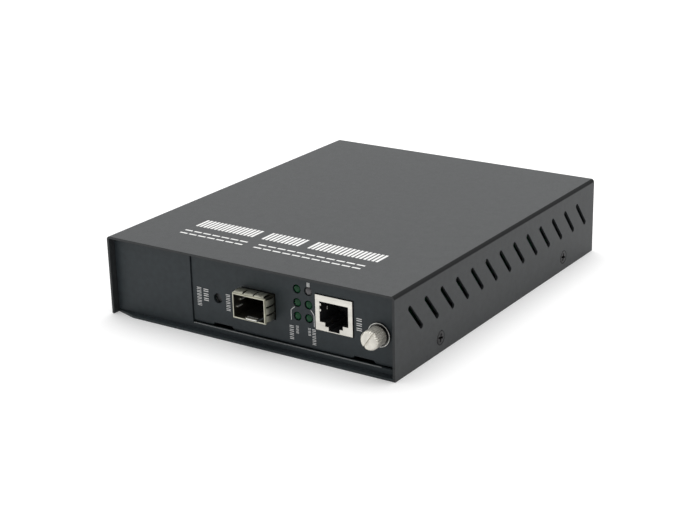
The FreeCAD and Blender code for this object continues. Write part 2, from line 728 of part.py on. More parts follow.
# ---------------------------------------------------------------- shared places
left = -size.cover_width / 2
right = size.cover_width / 2
front = -size.cover_depth / 2
rear = size.cover_depth / 2
inner_right = right - size.cover_sheet
tray_half = inner_right - size.cover_play
tray_top = size.cover_height - size.cover_sheet - size.top_play
wall_front = front + size.front_inset
wall_rear = rear - size.rear_inset
seam = left + size.power_bay_width
divider_top = tray_top - size.tray_sheet - size.fold_play
panel_front = wall_front + size.panel_recess
panel_back = panel_front + size.panel_sheet
panel_left = seam + size.panel_gap
panel_right = inner_right - size.panel_gap
panel_bottom = size.lip_height + size.panel_foot_gap
panel_top = size.cover_height - size.cover_sheet - size.panel_gap
flange_front = panel_back + size.flange_play
stop_front = panel_back + size.stop_gap
board_under = size.power_board_level
board_top = size.power_board_level + size.power_board_sheet
board_left = left + size.side_screw_sink + size.side_screw_length + size.board_edge_gap
board_right = seam - size.tray_sheet - size.board_edge_gap
board_rear = wall_rear - size.tray_sheet - size.board_edge_gap
board_front = board_rear - size.power_board_length
leg_front = board_rear - size.leg_depth
tongue_middle = seam + size.tongue_x
socket_half = size.tongue_width / 2 + size.socket_wall
leg_right = tongue_middle + socket_half + size.leg_margin
divider_rear = leg_front - size.divider_rear_gap
module_top = size.module_board_level + size.module_board_sheet
module_middle = size.module_board_level + size.module_board_sheet / 2
guide_right_wall = tray_half - size.tray_sheet
guide_start = wall_front + size.guide_front
module_left = seam + size.guide_depth - size.groove_depth + size.groove_gap
module_right = guide_right_wall - size.guide_depth + size.groove_depth - size.groove_gap
socket_start = leg_front + size.socket_front
module_front = panel_back + size.module_board_front
module_rear = socket_start - size.module_board_rear
module_centre = (module_front + module_rear) / 2
inlet_middle = left + size.inlet_x
inlet_level = board_top + size.inlet_height / 2
screw_x = inner_right - size.screw_inset
ear_front = (panel_back + size.ferrule_tail + size.clip_side_gap + size.screw_travel
             + size.clip_ring_sheet + size.clip_room)
side_screws = [front + size.side_screw_first,
               front + size.side_screw_first + size.side_screw_pitch]
side_screw_bore = size.side_screw_thread + size.thread_gap * 2
side_screw_sink = size.side_screw_head + size.side_screw_gap * 2
side_screw_hole = size.side_screw_thread + size.side_screw_gap * 2


# ---------------------------------------------------------------- chassis
def make_cover():
    body = new_body("cover")
    low = size.cover_lift
    under = size.cover_height - size.cover_sheet
    pad(body, "XZ", front, rear, Corners(
        (left, low), (left, size.cover_height), (right, size.cover_height), (right, low),
        (inner_right, low), (inner_right, under), (-inner_right, under), (-inner_right, low)))
    fillet(body, size.cover_bend, "y", [(left, size.cover_height), (right, size.cover_height)])
    fillet(body, size.cover_bend - size.cover_sheet, "y", [(inner_right, under), (-inner_right, under)])
    for y in side_screws:
        for side, facing in ((left, "+x"), (right, "-x")):
            cone_cut(body, (side, y, size.side_screw_level), facing,
                     side_screw_sink, side_screw_hole, size.cover_sheet)
    middle = front + size.slot_first
    slot = Slot((middle - size.slot_run / 2, size.slot_level + size.slot_rise / 2),
                (middle + size.slot_run / 2, size.slot_level - size.slot_rise / 2), size.slot_width)
    row = pocket(body, "YZ", left, right, slot)
    slot_pitch = (size.cover_depth - size.slot_first - size.slot_last) / (size.slot_count - 1)
    repeat(body, row, "y", slot_pitch, size.slot_count)


def make_base_tray():
    body = new_body("base_tray")
    t = size.tray_sheet
    b = size.tray_bend
    floor_half = tray_half - b
    pad(body, "YZ", -floor_half, floor_half, Corners(
        (wall_front, 0), (wall_rear, 0), (wall_rear, tray_top),
        (wall_rear - size.top_flange, tray_top), (wall_rear - size.top_flange, tray_top - t),
        (wall_rear - t, tray_top - t), (wall_rear - t, t), (wall_front + t, t),
        (wall_front + t, tray_top - t), (wall_front + size.top_flange, tray_top - t),
        (wall_front + size.top_flange, tray_top), (wall_front, tray_top)))
    fillet(body, b, "x", [(wall_front, 0), (wall_front, tray_top), (wall_rear, 0), (wall_rear, tray_top)])
    fillet(body, b - t, "x", [(wall_front + t, t), (wall_front + t, tray_top - t),
                              (wall_rear - t, t), (wall_rear - t, tray_top - t)])
    pad(body, "XZ", wall_front, wall_front + t, oblong((-tray_half, seam), (b, tray_top - b)))
    pad(body, "XZ", wall_rear - t, wall_rear, oblong((-tray_half, tray_half), (b, tray_top - b)))
    pocket(body, "XZ", wall_front - t, wall_front + size.top_flange + t,
           oblong((seam, tray_half), (size.lip_height, size.cover_height)))
    flange_rear = wall_rear - b
    for side in (-1, 1):
        half = tray_half * side
        pad(body, "XZ", flange_front, flange_rear, Corners(
            (half - b * side, 0), (half, 0), (half, size.side_flange_height),
            (half - t * side, size.side_flange_height), (half - t * side, t), (half - b * side, t)))
    fillet(body, b, "y", [(-tray_half, 0), (tray_half, 0)])
    fillet(body, b - t, "y", [(t - tray_half, t), (tray_half - t, t)])
    toe_front = wall_front - size.toe_reach
    pad(body, "XY", 0, t, Corners(
        (-tray_half, wall_front + b), (-tray_half, wall_front), (size.toe_corner - tray_half, toe_front),
        (tray_half, toe_front), (tray_half, wall_front + b)))
    add_ear(body)
    add_side_screw_threads(body)
    pocket(body, "XZ", wall_rear - t * 2, wall_rear + t, oblong(
        about(inlet_middle, size.inlet_width + size.inlet_cut_gap * 2),
        about(inlet_level, size.inlet_height + size.inlet_cut_gap * 2)))
    pocket(body, "YZ", tray_half - t, tray_half, *guide_tabs(size.tab_gap))


def add_ear(body):
    """An upright on the right flange with a folded ear, tapped for the module's screw."""
    t = size.tray_sheet
    ear_top = size.ear_bottom + size.ear_height
    pad(body, "YZ", tray_half - t, tray_half,
        oblong((flange_front, ear_front + t), (size.side_flange_height - t, ear_top)))
    pad(body, "XZ", ear_front, ear_front + t,
        oblong((tray_half - size.ear_width, tray_half), (size.ear_bottom, ear_top)))
    collar = size.screw_thread + size.screw_bore_gap * 2 + size.tap_wall * 2
    pad(body, "XZ", ear_front, ear_front + t + size.tap_collar, Ring(screw_x, size.screw_level, collar))
    pocket(body, "XZ", ear_front - t, ear_front + t * 2 + size.tap_collar,
           Ring(screw_x, size.screw_level, size.screw_thread + size.screw_bore_gap * 2))


def add_side_screw_threads(body):
    """Tapped holes in the side flanges."""
    t = size.tray_sheet
    for side in (-1, 1):
        low, high = sorted(((tray_half - t) * side, tray_half * side), key=lambda end: end.number)
        pocket(body, "YZ", low, high,
               *[Ring(y, size.side_screw_level, side_screw_bore) for y in side_screws])


def add_cross_recess(body, face):
    """A cross recess cut down into a screw's face."""
    arm = about(0, size.cross_width)
    span = about(0, size.cross_span)
    pocket(body, "XY", face - size.cross_depth, face, oblong(arm, span))
    pocket(body, "XY", face - size.cross_depth, face, oblong(span, arm))


def make_cover_screws():
    head = size.side_screw_head / 2
    thread = size.side_screw_thread / 2
    screw = turned("countersunk_screw", [
        (0, 0), (head, 0), (thread, -size.side_screw_head_depth), (thread, -size.side_screw_length),
        (0, -size.side_screw_length)])
    add_cross_recess(screw, term(0))
    face = right - size.side_screw_sink
    spots = [(face * side, y, size.side_screw_level) for side in (-1, 1) for y in side_screws]
    copies("cover_screws", screw, spots, ["-x", "-x", "+x", "+x"])


def make_bay_divider():
    body = new_body("bay_divider")
    t = size.tray_sheet
    b = size.tray_bend
    relief = stop_front + b * 2
    pad(body, "YZ", seam - t, seam, Corners(
        (relief, t), (divider_rear, t), (divider_rear, divider_top), (stop_front, divider_top),
        (stop_front, size.stop_bottom), (relief, size.stop_bottom)))
    pad(body, "XY", t, t * 2, oblong((seam - size.divider_foot, seam), (relief, divider_rear)))
    pad(body, "XZ", stop_front, stop_front + t,
        oblong((seam - t, seam + size.stop_width), (size.stop_bottom, divider_top)))
    fillet(body, b, "y", [(seam, t)])
    fillet(body, b - t, "y", [(seam - t, t * 2)])
    fillet(body, b, "z", [(seam - t, stop_front)])
    fillet(body, b - t, "z", [(seam, stop_front + t)])
    pocket(body, "YZ", seam - t, seam, *guide_tabs(size.tab_gap))


def guide_tabs(gap):
    """Outlines of a guide's two tabs, grown all round by a gap."""
    across = size.tab_width + term(gap) * 2
    up = about(module_middle, size.tab_height + term(gap) * 2)
    spots = (guide_start + size.tab_inset, guide_start + size.guide_length - size.tab_inset)
    return [oblong(about(spot, across), up) for spot in spots]


def make_card_guide(name, wall, side):
    """A grooved guide on a wall, open to one side, held by two tabs."""
    body = new_body(name)
    groove = size.module_board_sheet / 2 + size.groove_gap
    half = size.guide_height / 2
    open_side = wall + size.guide_depth * side
    bottom = open_side - size.groove_depth * side
    guide_end = guide_start + size.guide_length
    pad(body, "XZ", guide_start, guide_end, Corners(
        (wall, module_middle - half), (open_side, module_middle - half),
        (open_side, module_middle - groove), (bottom, module_middle - groove),
        (bottom, module_middle + groove), (open_side, module_middle + groove),
        (open_side, module_middle + half), (wall, module_middle + half)))
    low, high = sorted((wall, wall - size.tray_sheet * side), key=lambda end: end.number)
    pad(body, "YZ", low, high, *guide_tabs(0))


def board_holes():
    return [(board_left + size.hole_margin, board_front + size.hole_margin),
            (board_right - size.hole_clear_of_foot, board_front + size.hole_margin),
            (board_left + size.hole_margin, board_rear - size.inlet_hole_back),
            (leg_right - size.hole_margin, board_rear - size.hole_margin)]


def make_power_board():
    body = new_body("power_board")
    pad(body, "XY", board_under, board_top, Corners(
        (board_left, board_front), (board_right, board_front), (board_right, leg_front),
        (leg_right, leg_front), (leg_right, board_rear), (board_left, board_rear)))
    hole = size.support_neck + size.support_gap * 2
    pocket(body, "XY", board_under, board_top,
           *[oblong(about(x, hole), about(y, hole)) for x, y in board_holes()])


def make_board_supports():
    """Square posts on the tray's floor whose necks snap through the board."""
    body = doc.addObject("PartDesign::Body", "board_support")
    wide = about(0, size.support_width)
    neck = about(0, size.support_neck)
    barb = about(0, size.support_barb)
    seat = board_under - size.tray_sheet
    hook = board_top - size.tray_sheet + size.support_gap
    peak = hook + size.support_barb_height
    pad(body, "XY", 0, seat, oblong(wide, wide))
    pad(body, "XZ", *neck, Corners(
        (neck[0], seat), (neck[1], seat), (neck[1], hook), (barb[1], hook), (neck[1], peak),
        (neck[0], peak), (barb[0], hook), (neck[0], hook)))
    copies("board_supports", body, [(x, y, size.tray_sheet) for x, y in board_holes()])


def pan_screw(name, thread, head, head_height, length):
    """A pan head screw whose seat is at its own origin."""
    return turned(name, [(0, -length), (thread / 2, -length), (thread / 2, 0), (head / 2, 0),
                         (head / 2, head_height), (0, head_height)])


# ---------------------------------------------------------------- mains inlet
def make_inlet():
    body = new_body("inlet_housing")
    flange_face = wall_rear + size.inlet_bezel_sheet
    body_front = wall_rear - size.inlet_body_depth
    across = about(inlet_middle, size.inlet_width)
    upright = about(inlet_level, size.inlet_height)
    pad(body, "XZ", body_front, wall_rear, oblong(across, upright))
    bezel_across = about(inlet_middle, size.inlet_bezel_width)
    bezel_up = about(inlet_level, size.inlet_bezel_height)
    pad(body, "XZ", wall_rear, flange_face, oblong(bezel_across, bezel_up))
    fillet(body, size.inlet_corner, "y", [(x, z) for x in bezel_across for z in bezel_up])
    low_x, high_x = about(inlet_middle, size.recess_width)
    low_z, high_z = about(inlet_level, size.recess_height)
    corner = size.recess_corner
    pocket(body, "XZ", flange_face - size.recess_depth, flange_face, Corners(
        (low_x, high_z), (low_x, low_z + corner), (low_x + corner, low_z),
        (high_x - corner, low_z), (high_x, low_z + corner), (high_x, high_z)))
    for x, z in inlet_pins():
        pocket(body, "XZ", body_front, flange_face,
               oblong(about(x, size.blade_sheet), about(z, size.blade_width)))


def inlet_pins():
    return [(inlet_middle - size.blade_pitch / 2, inlet_level + size.blade_offset),
            (inlet_middle, inlet_level - size.blade_offset),
            (inlet_middle + size.blade_pitch / 2, inlet_level + size.blade_offset)]


def make_inlet_pins():
    start = wall_rear - size.inlet_body_depth
    recess_back = wall_rear + size.inlet_bezel_sheet - size.recess_depth
    pins = []
    for x, z in inlet_pins():
        across = about(x, size.blade_sheet)
        blade = block(across, (start - size.blade_tail, recess_back + size.blade_length),
                      about(z, size.blade_width))
        tail = block(across, (start - size.blade_tail, start - size.blade_tail + size.blade_sheet),
                     (board_top, z))
        pins.append(fused(blade, tail))
    group("inlet_pins", pins)


# ---------------------------------------------------------------- mains supply
def make_fuse():
    x = board_left + size.fuse_x
    y = board_rear - size.fuse_y
    z = board_top + size.fuse_level
    low, high = about(y, size.fuse_length)
    node("fuse", rod((x, low, z), "+y", size.fuse_diameter, size.fuse_length))
    hold = about(x, size.fuse_diameter + size.clip_gap * 2)
    outside = (hold[0] - size.clip_sheet, hold[1] + size.clip_sheet)
    lift = z - size.fuse_diameter / 2 - size.clip_gap
    clips = []
    for middle in (low + size.clip_inset, high - size.clip_inset):
        deep = about(middle, size.clip_length)
        base = block(outside, deep, (board_top, board_top + size.clip_height))
        clips.append(cut(base, block(hold, deep, (lift, board_top + size.clip_height))))
    group("fuse_clips", clips)


def make_line_capacitor():
    case = block(about(board_left + size.line_cap_x, size.line_cap_length),
                 about(board_rear - size.line_cap_y, size.line_cap_depth),
                 upward(board_top, size.line_cap_height))
    node("line_capacitor", case)


def make_line_filter():
    x = board_left + size.filter_x
    y = board_rear - size.filter_y
    leg = size.filter_leg
    across = about(x, size.filter_width)
    up = upward(board_top, size.filter_height)
    body = new_body("filter_core")
    pad(body, "XZ", *about(y, size.filter_depth), oblong(across, up),
        oblong((across[0] + leg, across[1] - leg), (up[0] + leg, up[1] - leg)))
    coils = []
    coil_low = up[0] + leg
    coil_height = size.filter_height - leg * 2
    for middle in (across[0] + leg / 2, across[1] - leg / 2):
        coil = block(about(middle, size.filter_coil), about(y, size.filter_coil),
                     (coil_low, coil_low + coil_height))
        core = block(about(middle, leg), about(y, size.filter_depth), (coil_low, coil_low + coil_height))
        coils.append(cut(coil, core))
    group("filter_windings", coils)


def make_bridge_rectifier():
    x = board_left + size.bridge_x
    y = board_rear - size.bridge_y
    node("bridge_rectifier", block(about(x, size.bridge_sheet), about(y, size.bridge_length),
                                   upward(board_top, size.bridge_height)))


def can(name, diameter, height):
    """An electrolytic can standing on its own origin."""
    radius = diameter / 2
    return turned(name, [(0, 0), (radius, 0), (radius, height), (0, height)])


def make_bulk_capacitor():
    body = can("bulk_capacitor", size.bulk_diameter, size.bulk_height)
    place(body, (board_left + size.bulk_x, board_rear - size.bulk_y, board_top))
    node("bulk_capacitor", body)


def make_output_capacitors():
    master = can("output_can", size.output_cap_diameter, size.output_cap_height)
    y = board_front + size.output_cap_y
    x = board_left + size.output_cap_x
    copies("output_capacitors", master, [(x, y, board_top), (x + size.output_cap_pitch, y, board_top)])


def make_transformer():
    x = board_left + size.transformer_x
    y = board_rear - size.transformer_y
    leg = size.transformer_leg
    across = about(x, size.transformer_width)
    middle = about(x, size.transformer_middle)
    up = upward(board_top, size.transformer_height)
    window = (up[0] + leg, up[1] - leg)
    body = new_body("transformer_core")
    pad(body, "XZ", *about(y, size.transformer_depth), oblong(across, up),
        oblong((across[0] + leg, middle[0]), window), oblong((middle[1], across[1] - leg), window))
    wall = size.bobbin_wall
    gap = size.bobbin_gap
    bore = (size.transformer_middle + gap * 2, size.transformer_depth + gap * 2)
    tube = (bore[0] + wall * 2, bore[1] + wall * 2)
    ends = (window[0] + gap, window[1] - gap)
    outer = size.transformer_width - leg * 2 - gap * 2
    bobbin = new_body("transformer_bobbin")
    pad(bobbin, "XY", ends[0], ends[0] + wall, oblong(about(x, outer), about(y, size.bobbin_depth)))
    pad(bobbin, "XY", ends[0], ends[1], oblong(about(x, tube[0]), about(y, tube[1])))
    pad(bobbin, "XY", ends[1] - wall, ends[1], oblong(about(x, outer), about(y, size.bobbin_depth)))
    pocket(bobbin, "XY", ends[0], ends[1], oblong(about(x, bore[0]), about(y, bore[1])))
    winding = new_body("transformer_winding")
    pad(winding, "XY", ends[0] + wall, ends[1] - wall,
        oblong(about(x, outer - gap * 2), about(y, size.winding_depth)),
        oblong(about(x, tube[0]), about(y, tube[1])))


def make_heat_sink():
    x = board_left + size.sink_x
    y = board_rear - size.sink_y
    low, high = about(y, size.sink_length)
    face = x - size.sink_plate / 2
    back = x + size.sink_plate / 2
    fins = int(size.sink_fin_count.number)
    step = (size.sink_length - size.sink_fin_sheet) / (fins - 1)
    corners = [(face, high), (face, low)]
    for number in range(fins):
        start = low + step * number
        end = start + size.sink_fin_sheet
        corners += [(back, start)] if number else []
        corners += [(back + size.sink_fin, start), (back + size.sink_fin, end)]
        corners += [(back, end)] if number < fins - 1 else []
    body = new_body("heat_sink")
    pad(body, "XY", board_top, board_top + size.sink_height, Corners(*corners))
    for name, spot in zip(("power_switch", "output_rectifier"), devices()):
        make_power_device(name, face, spot)
    make_device_springs(face, back)


def devices():
    y = board_rear - size.sink_y
    return list(about(y, size.device_spacing))


def make_device_springs(face, back):
    """Bent strips hooked over the sink's top edge that press on the power devices."""
    t = size.spring_sheet
    sink_top = board_top + size.sink_height
    pressed = face - size.device_tab
    foot = sink_top - size.spring_reach
    knee = sink_top - size.spring_reach / 2
    bow = pressed - size.spring_bow
    springs = []
    for y in devices():
        strip = doc.addObject("PartDesign::Body", "Spring")
        pad(strip, "XZ", *about(y, size.spring_width), Corners(
            (back, sink_top), (back, sink_top + t), (pressed - t, sink_top + t), (bow - t, knee),
            (pressed - t, foot), (pressed, foot), (bow, knee), (pressed, sink_top)))
        springs.append(strip)
    group("device_springs", springs)


def make_power_device(name, face, y):
    """A power package with its tab against the sink and three leads down to the board."""
    low = board_top + size.device_lead
    across = about(y, size.device_width)
    tab = block((face - size.device_tab, face), across,
                upward(low, size.device_height + size.device_tab_height))
    case = block((face - size.device_body, face), across, upward(low, size.device_height))
    lead = size.device_tab
    legs = [block((face - size.device_body / 2 - lead, face - size.device_body / 2),
                  about(y + step * (size.device_width / 4), lead), (board_top, low + lead))
            for step in (-1, 0, 1)]
    node(name, fused(tab, case, *legs))


def make_output_choke():
    x = board_left + size.choke_x
    y = board_front + size.choke_y
    body = can("output_choke", size.choke_diameter, size.choke_height)
    place(body, (x, y, board_top))
    node("output_choke", body)


def make_control_chips():
    x = board_left + size.control_x
    y = board_front + size.control_y
    chips = []
    for number in range(int(size.control_count.number)):
        deep = about(y - size.control_pitch * number, size.control_length)
        chips.append(block(about(x, size.control_width), deep, upward(board_top, size.control_height)))
    group("control_chips", chips)


# ---------------------------------------------------------------- module socket
def make_socket():
    body = new_body("socket_housing")
    socket_end = socket_start + size.socket_depth
    pad(body, "XY", board_top, board_top + size.socket_height,
        oblong(about(tongue_middle, socket_half * 2), (socket_start, socket_end)))
    deep = size.tongue_length + size.socket_side_gap
    pocket(body, "XZ", socket_start, socket_start + deep,
           oblong(about(tongue_middle, size.tongue_width + size.socket_side_gap * 2),
                  about(module_middle, size.socket_slot)))
    slot_half = size.socket_slot / 2
    inner = size.module_board_sheet / 2 + size.socket_contact_gap
    contacts = []
    for number in range(int(size.contact_count.number)):
        step = size.contact_pitch * (number - (size.contact_count - 1) / 2)
        across = about(tongue_middle + step, size.contact_width)
        deep_pair = upward(socket_start + deep - size.contact_length, size.contact_length)
        contacts.append(block(across, deep_pair, (module_middle + inner, module_middle + slot_half)))
        contacts.append(block(across, deep_pair, (module_middle - slot_half, module_middle - inner)))
    group("socket_contacts", contacts)


# ---------------------------------------------------------------- converter module
jack_middle = inner_right - size.jack_inset
jack_face = panel_front - size.jack_reach
jack_back = jack_face + size.jack_depth
lamp_right = jack_middle - size.jack_width / 2 - size.lamp_inset
lamp_columns = [lamp_right - size.lamp_column_pitch, lamp_right]
reset_x = seam + size.reset_x
cage_middle = (reset_x + lamp_columns[0]) / 2 + size.cage_offset
cage_mouth = panel_front - size.cage_reach
cage_end = cage_mouth + size.cage_length
cap_face = panel_front + size.reset_recess
cap_back = cap_face + size.reset_cap_length
switch_face = cap_back + size.reset_travel + size.reset_stop_gap
lamp_rows = [size.lamp_level + size.lamp_row_pitch * row for row in range(3)]
lamp_face = panel_front - size.lamp_reach
holder_face = panel_back + size.holder_back
management_x = inner_right - size.management_inset
memory_x = seam + size.memory_x
converter_x = (memory_x + management_x) / 2 + size.converter_offset


def make_module_panel():
    body = new_body("module_panel")
    t = size.panel_sheet
    b = size.panel_bend
    flange_end = panel_front + size.panel_flange
    pad(body, "YZ", panel_left, panel_right, Corners(
        (panel_front, panel_bottom), (flange_end, panel_bottom), (flange_end, panel_bottom + t),
        (panel_back, panel_bottom + t), (panel_back, panel_top), (panel_front, panel_top)))
    fillet(body, b, "x", [(panel_front, panel_bottom)])
    fillet(body, b - t, "x", [(panel_back, panel_bottom + t)])
    pocket(body, "XY", panel_bottom - t, panel_bottom + b,
           oblong((guide_right_wall - size.panel_gap, panel_right + t), (panel_back, flange_end + t)))
    openings = [Ring(reset_x, size.reset_level, size.reset_hole),
                Ring(screw_x, size.screw_level, size.ferrule_barrel + size.ferrule_fit * 2)]
    openings += [Ring(x, z, size.lamp_hole) for x in lamp_columns for z in lamp_rows]
    openings.append(oblong(about(cage_middle, size.cage_width + size.cage_opening_gap * 2),
                           (module_top - size.cage_opening_gap,
                            module_top + size.cage_height + size.cage_opening_gap)))
    openings.append(oblong(about(jack_middle, size.jack_width + size.jack_opening_gap * 2),
                           (module_top - size.jack_opening_gap,
                            module_top + size.jack_height + size.jack_opening_gap)))
    pocket(body, "XZ", panel_front, panel_back, *openings)
    for middle in (panel_left + size.notch_inset, panel_right - size.notch_inset):
        low, high = about(middle, size.notch_width)
        slope = size.notch_slope
        peak = panel_bottom + size.notch_height
        pocket(body, "XZ", panel_front - t, panel_back + size.notch_reach, Corners(
            (low, panel_bottom), (high, panel_bottom), (high - slope, peak), (low + slope, peak)))


def post_spots():
    y = panel_back + size.post_back
    return [(panel_left + size.post_left_inset, y), (panel_right - size.post_right_inset, y)]


def make_module_board():
    body = new_body("module_board")
    tip = socket_start + size.tongue_length
    low, high = about(tongue_middle, size.tongue_width)
    pad(body, "XY", size.module_board_level, module_top, Corners(
        (module_left, module_front), (module_right, module_front), (module_right, module_rear),
        (high, module_rear), (high, tip), (low, tip), (low, module_rear), (module_left, module_rear)))
    hole = size.post_screw_thread + size.board_hole_gap * 2
    pocket(body, "XY", size.module_board_level, module_top, *[Ring(x, y, hole) for x, y in post_spots()])


def make_module_posts():
    bore = (size.post_screw_thread + size.thread_gap * 2) / 2
    half = size.post_diameter / 2
    seat = panel_bottom + size.panel_sheet
    tall = size.module_board_level - seat
    point = half * HEX_POINT
    post = doc.addObject("PartDesign::Body", "post")
    pad(post, "XY", 0, tall, Ring(0, 0, bore * 2), Corners(
        (point, 0), (point / 2, half), (-point / 2, half), (-point, 0), (-point / 2, -half),
        (point / 2, -half)))
    copies("module_standoffs", post, [(x, y, seat) for x, y in post_spots()])
    screw = pan_screw("post_screw", size.post_screw_thread, size.post_screw_head,
                      size.post_screw_head_height, size.post_screw_length)
    copies("module_screws", screw, [(x, y, module_top) for x, y in post_spots()])


def make_cage():
    """A folded sheet cage, open at the front and under its socket, with a latch tongue."""
    body = new_body("sfp_cage")
    wall = size.cage_wall
    across = about(cage_middle, size.cage_width)
    up = upward(module_top, size.cage_height)
    pad(body, "XZ", cage_mouth, cage_end, oblong(across, up))
    pocket(body, "XZ", cage_mouth, cage_end - wall,
           oblong((across[0] + wall, across[1] - wall), (up[0] + wall, up[1] - wall)))
    latch_middle = cage_middle + size.latch_offset
    slit = about(latch_middle, size.latch_width + size.latch_slit * 2)
    root = cage_mouth + size.latch_length
    pocket(body, "XY", up[0], up[0] + wall, oblong(slit, (cage_mouth, root)))
    well = about(cage_middle, size.host_width + wall * 2)
    pocket(body, "XY", up[0], up[0] + wall,
           oblong(well, (cage_end - size.host_depth - wall * 3, cage_end - wall)))
    lift = size.latch_lift
    pad(body, "YZ", *about(latch_middle, size.latch_width), Corners(
        (root, up[0]), (root, up[0] + wall), (cage_mouth, up[0] + wall + lift), (cage_mouth, up[0] + lift)))


class Bow:
    """A thin strip that bows out between two ends and comes back. A steep one runs up the sketch."""

    def __init__(self, start, end, foot, thickness, bow, steep):
        self.start, self.end = term(start), term(end)
        self.foot, self.thickness, self.bow = term(foot), term(thickness), term(bow)
        self.steep = steep

    def spot(self, along, level):
        return (level, along) if self.steep else (along, level)

    def add_arc(self, sketch, level):
        """One side of the strip, whose ends lie at a level."""
        deep = self.bow if self.bow.number > 0 else -self.bow
        chord = self.end - self.start
        radius = (chord * chord / 4 + deep * deep) / (deep * 2)
        middle = (self.start + self.end) / 2
        places = [(self.start, level), (middle, level + self.bow), (self.end, level)]
        spots = [self.spot(*point) for point in places]
        points = [V(across.number, up.number, 0) for across, up in spots]
        arc = sketch.addGeometry(Part.Arc(*points), False)
        dimension(sketch, Sketcher.Constraint("Radius", arc, radius.number), radius)
        return arc

    def draw(self, sketch):
        levels = (self.foot, self.foot + self.thickness)
        arcs = [self.add_arc(sketch, level) for level in levels]
        for end in (1, 2):
            points = [sketch.getPoint(arc, end) for arc in arcs]
            line = sketch.addGeometry(Part.LineSegment(*points), False)
            for arc, level, point, line_end in zip(arcs, levels, points, (1, 2)):
                sketch.addConstraint(Sketcher.Constraint("Coincident", arc, end, line, line_end))
                along = point.y if self.steep else point.x
                at_start = abs(along - self.start.number) < 1e-6
                pin(sketch, arc, end, *self.spot(self.start if at_start else self.end, level))


def make_fingers():
    """A band round the cage's mouth with rows of fingers that bow out in front of the panel."""
    body = new_body("sfp_fingers")
    t = size.finger_sheet
    bow = size.finger_bow
    across = about(cage_middle, size.cage_width + size.finger_gap * 2)
    up = (module_top - size.finger_gap, module_top + size.cage_height + size.finger_gap)
    start = cage_mouth + size.finger_start
    band_end = start + size.finger_band
    outer = oblong((across[0] - t, across[1] + t), (up[0] - t, up[1] + t))
    pad(body, "XZ", start, band_end, outer, oblong(across, up))
    root = band_end - size.finger_band / 2
    tip = band_end + size.finger_length
    over = (across[0] - size.top_finger_shift, across[1] - size.top_finger_shift)
    for plane, span, foot, thickness, deep, count in (
            ("YZ", over, up[1], t, bow, size.top_finger_count),
            ("XY", up, across[1], t, bow, size.side_finger_count),
            ("XY", up, across[0], -t, -bow, size.side_finger_count)):
        low = span[0] + size.finger_corner
        step = (span[1] - size.finger_corner - low + size.finger_slit) / count
        for number in range(int(count.number)):
            edge = low + step * number
            strip = Bow(root, tip, foot, thickness, deep, plane == "XY")
            pad(body, plane, edge, edge + step - size.finger_slit, strip)


def make_cage_socket():
    body = new_body("sfp_socket")
    end = cage_end - size.cage_wall
    start = end - size.host_depth
    across = about(cage_middle, size.host_width)
    slot_level = module_top + size.host_slot_level
    pad(body, "XY", module_top, module_top + size.host_height, oblong(across, (start, end)))
    wall = (size.host_height - size.host_slot_level - size.host_slot / 2) / 2
    pocket(body, "XZ", start, start + size.host_slot_depth,
           oblong((across[0] + wall, across[1] - wall), about(slot_level, size.host_slot)))
    contacts = []
    thick = size.host_slot / 4
    for number in range(int(size.host_contact_count.number)):
        step = size.host_contact_pitch * (number - (size.host_contact_count - 1) / 2)
        pair = about(cage_middle + step, size.host_contact_width)
        deep = (start + thick, start + size.host_slot_depth)
        contacts.append(block(pair, deep, (slot_level + size.host_slot / 2 - thick,
                                           slot_level + size.host_slot / 2)))
        contacts.append(block(pair, deep, (slot_level - size.host_slot / 2,
                                           slot_level - size.host_slot / 2 + thick)))
    group("sfp_contacts", contacts)


def port_outline(grow):
    """The network port: a wide mouth with two latch steps under it."""
    grow = term(grow)
    top_level = module_top + size.jack_height - size.port_top
    middle_level = top_level - size.port_height
    step_level = middle_level - size.port_step
    low_level = step_level - size.port_step
    wide = about(jack_middle, size.port_width + grow * 2)
    step = about(jack_middle, size.port_step_width + grow * 2)
    notch = about(jack_middle, size.port_notch_width + grow * 2)
    return Corners(
        (wide[0], top_level + grow), (wide[0], middle_level - grow), (step[0], middle_level - grow),
        (step[0], step_level - grow), (notch[0], step_level - grow), (notch[0], low_level - grow / 2),
        (notch[1], low_level - grow / 2), (notch[1], step_level - grow), (step[1], step_level - grow),
        (step[1], middle_level - grow), (wide[1], middle_level - grow), (wide[1], top_level + grow))


def make_jack():
    wall = size.jack_wall
    across = about(jack_middle, size.jack_width)
    up = upward(module_top, size.jack_height)
    inside = ((across[0] + wall, across[1] - wall), (up[0], up[1] - wall))
    shield = new_body("jack_shield")
    pad(shield, "XZ", jack_face, jack_back, oblong(across, up))
    pocket(shield, "XY", module_top, up[1] - wall,
           oblong(inside[0], (jack_face + wall, jack_back - wall)))
    pocket(shield, "XZ", jack_face, jack_face + wall, port_outline(0))
    housing = new_body("jack_housing")
    start = jack_face + wall
    pad(housing, "XZ", start, jack_back - wall, oblong(*inside))
    pocket(housing, "XZ", start, start + size.port_depth, port_outline(wall / 4))
    port_top = up[1] - size.port_top + wall / 4
    low = port_top - size.jack_contact_drop
    t = size.jack_contact_sheet
    contacts = []
    for number in range(int(size.jack_contact_count.number)):
        step = size.jack_contact_pitch * (number - (size.jack_contact_count - 1) / 2)
        wire = doc.addObject("PartDesign::Body", "Wire")
        pad(wire, "YZ", *about(jack_middle + step, size.jack_contact_width), Corners(
            (start + t * 4, port_top), (start + t * 6, port_top),
            (start + size.port_depth, low + t), (start + size.port_depth, low)))
        contacts.append(wire)
    group("jack_contacts", contacts)


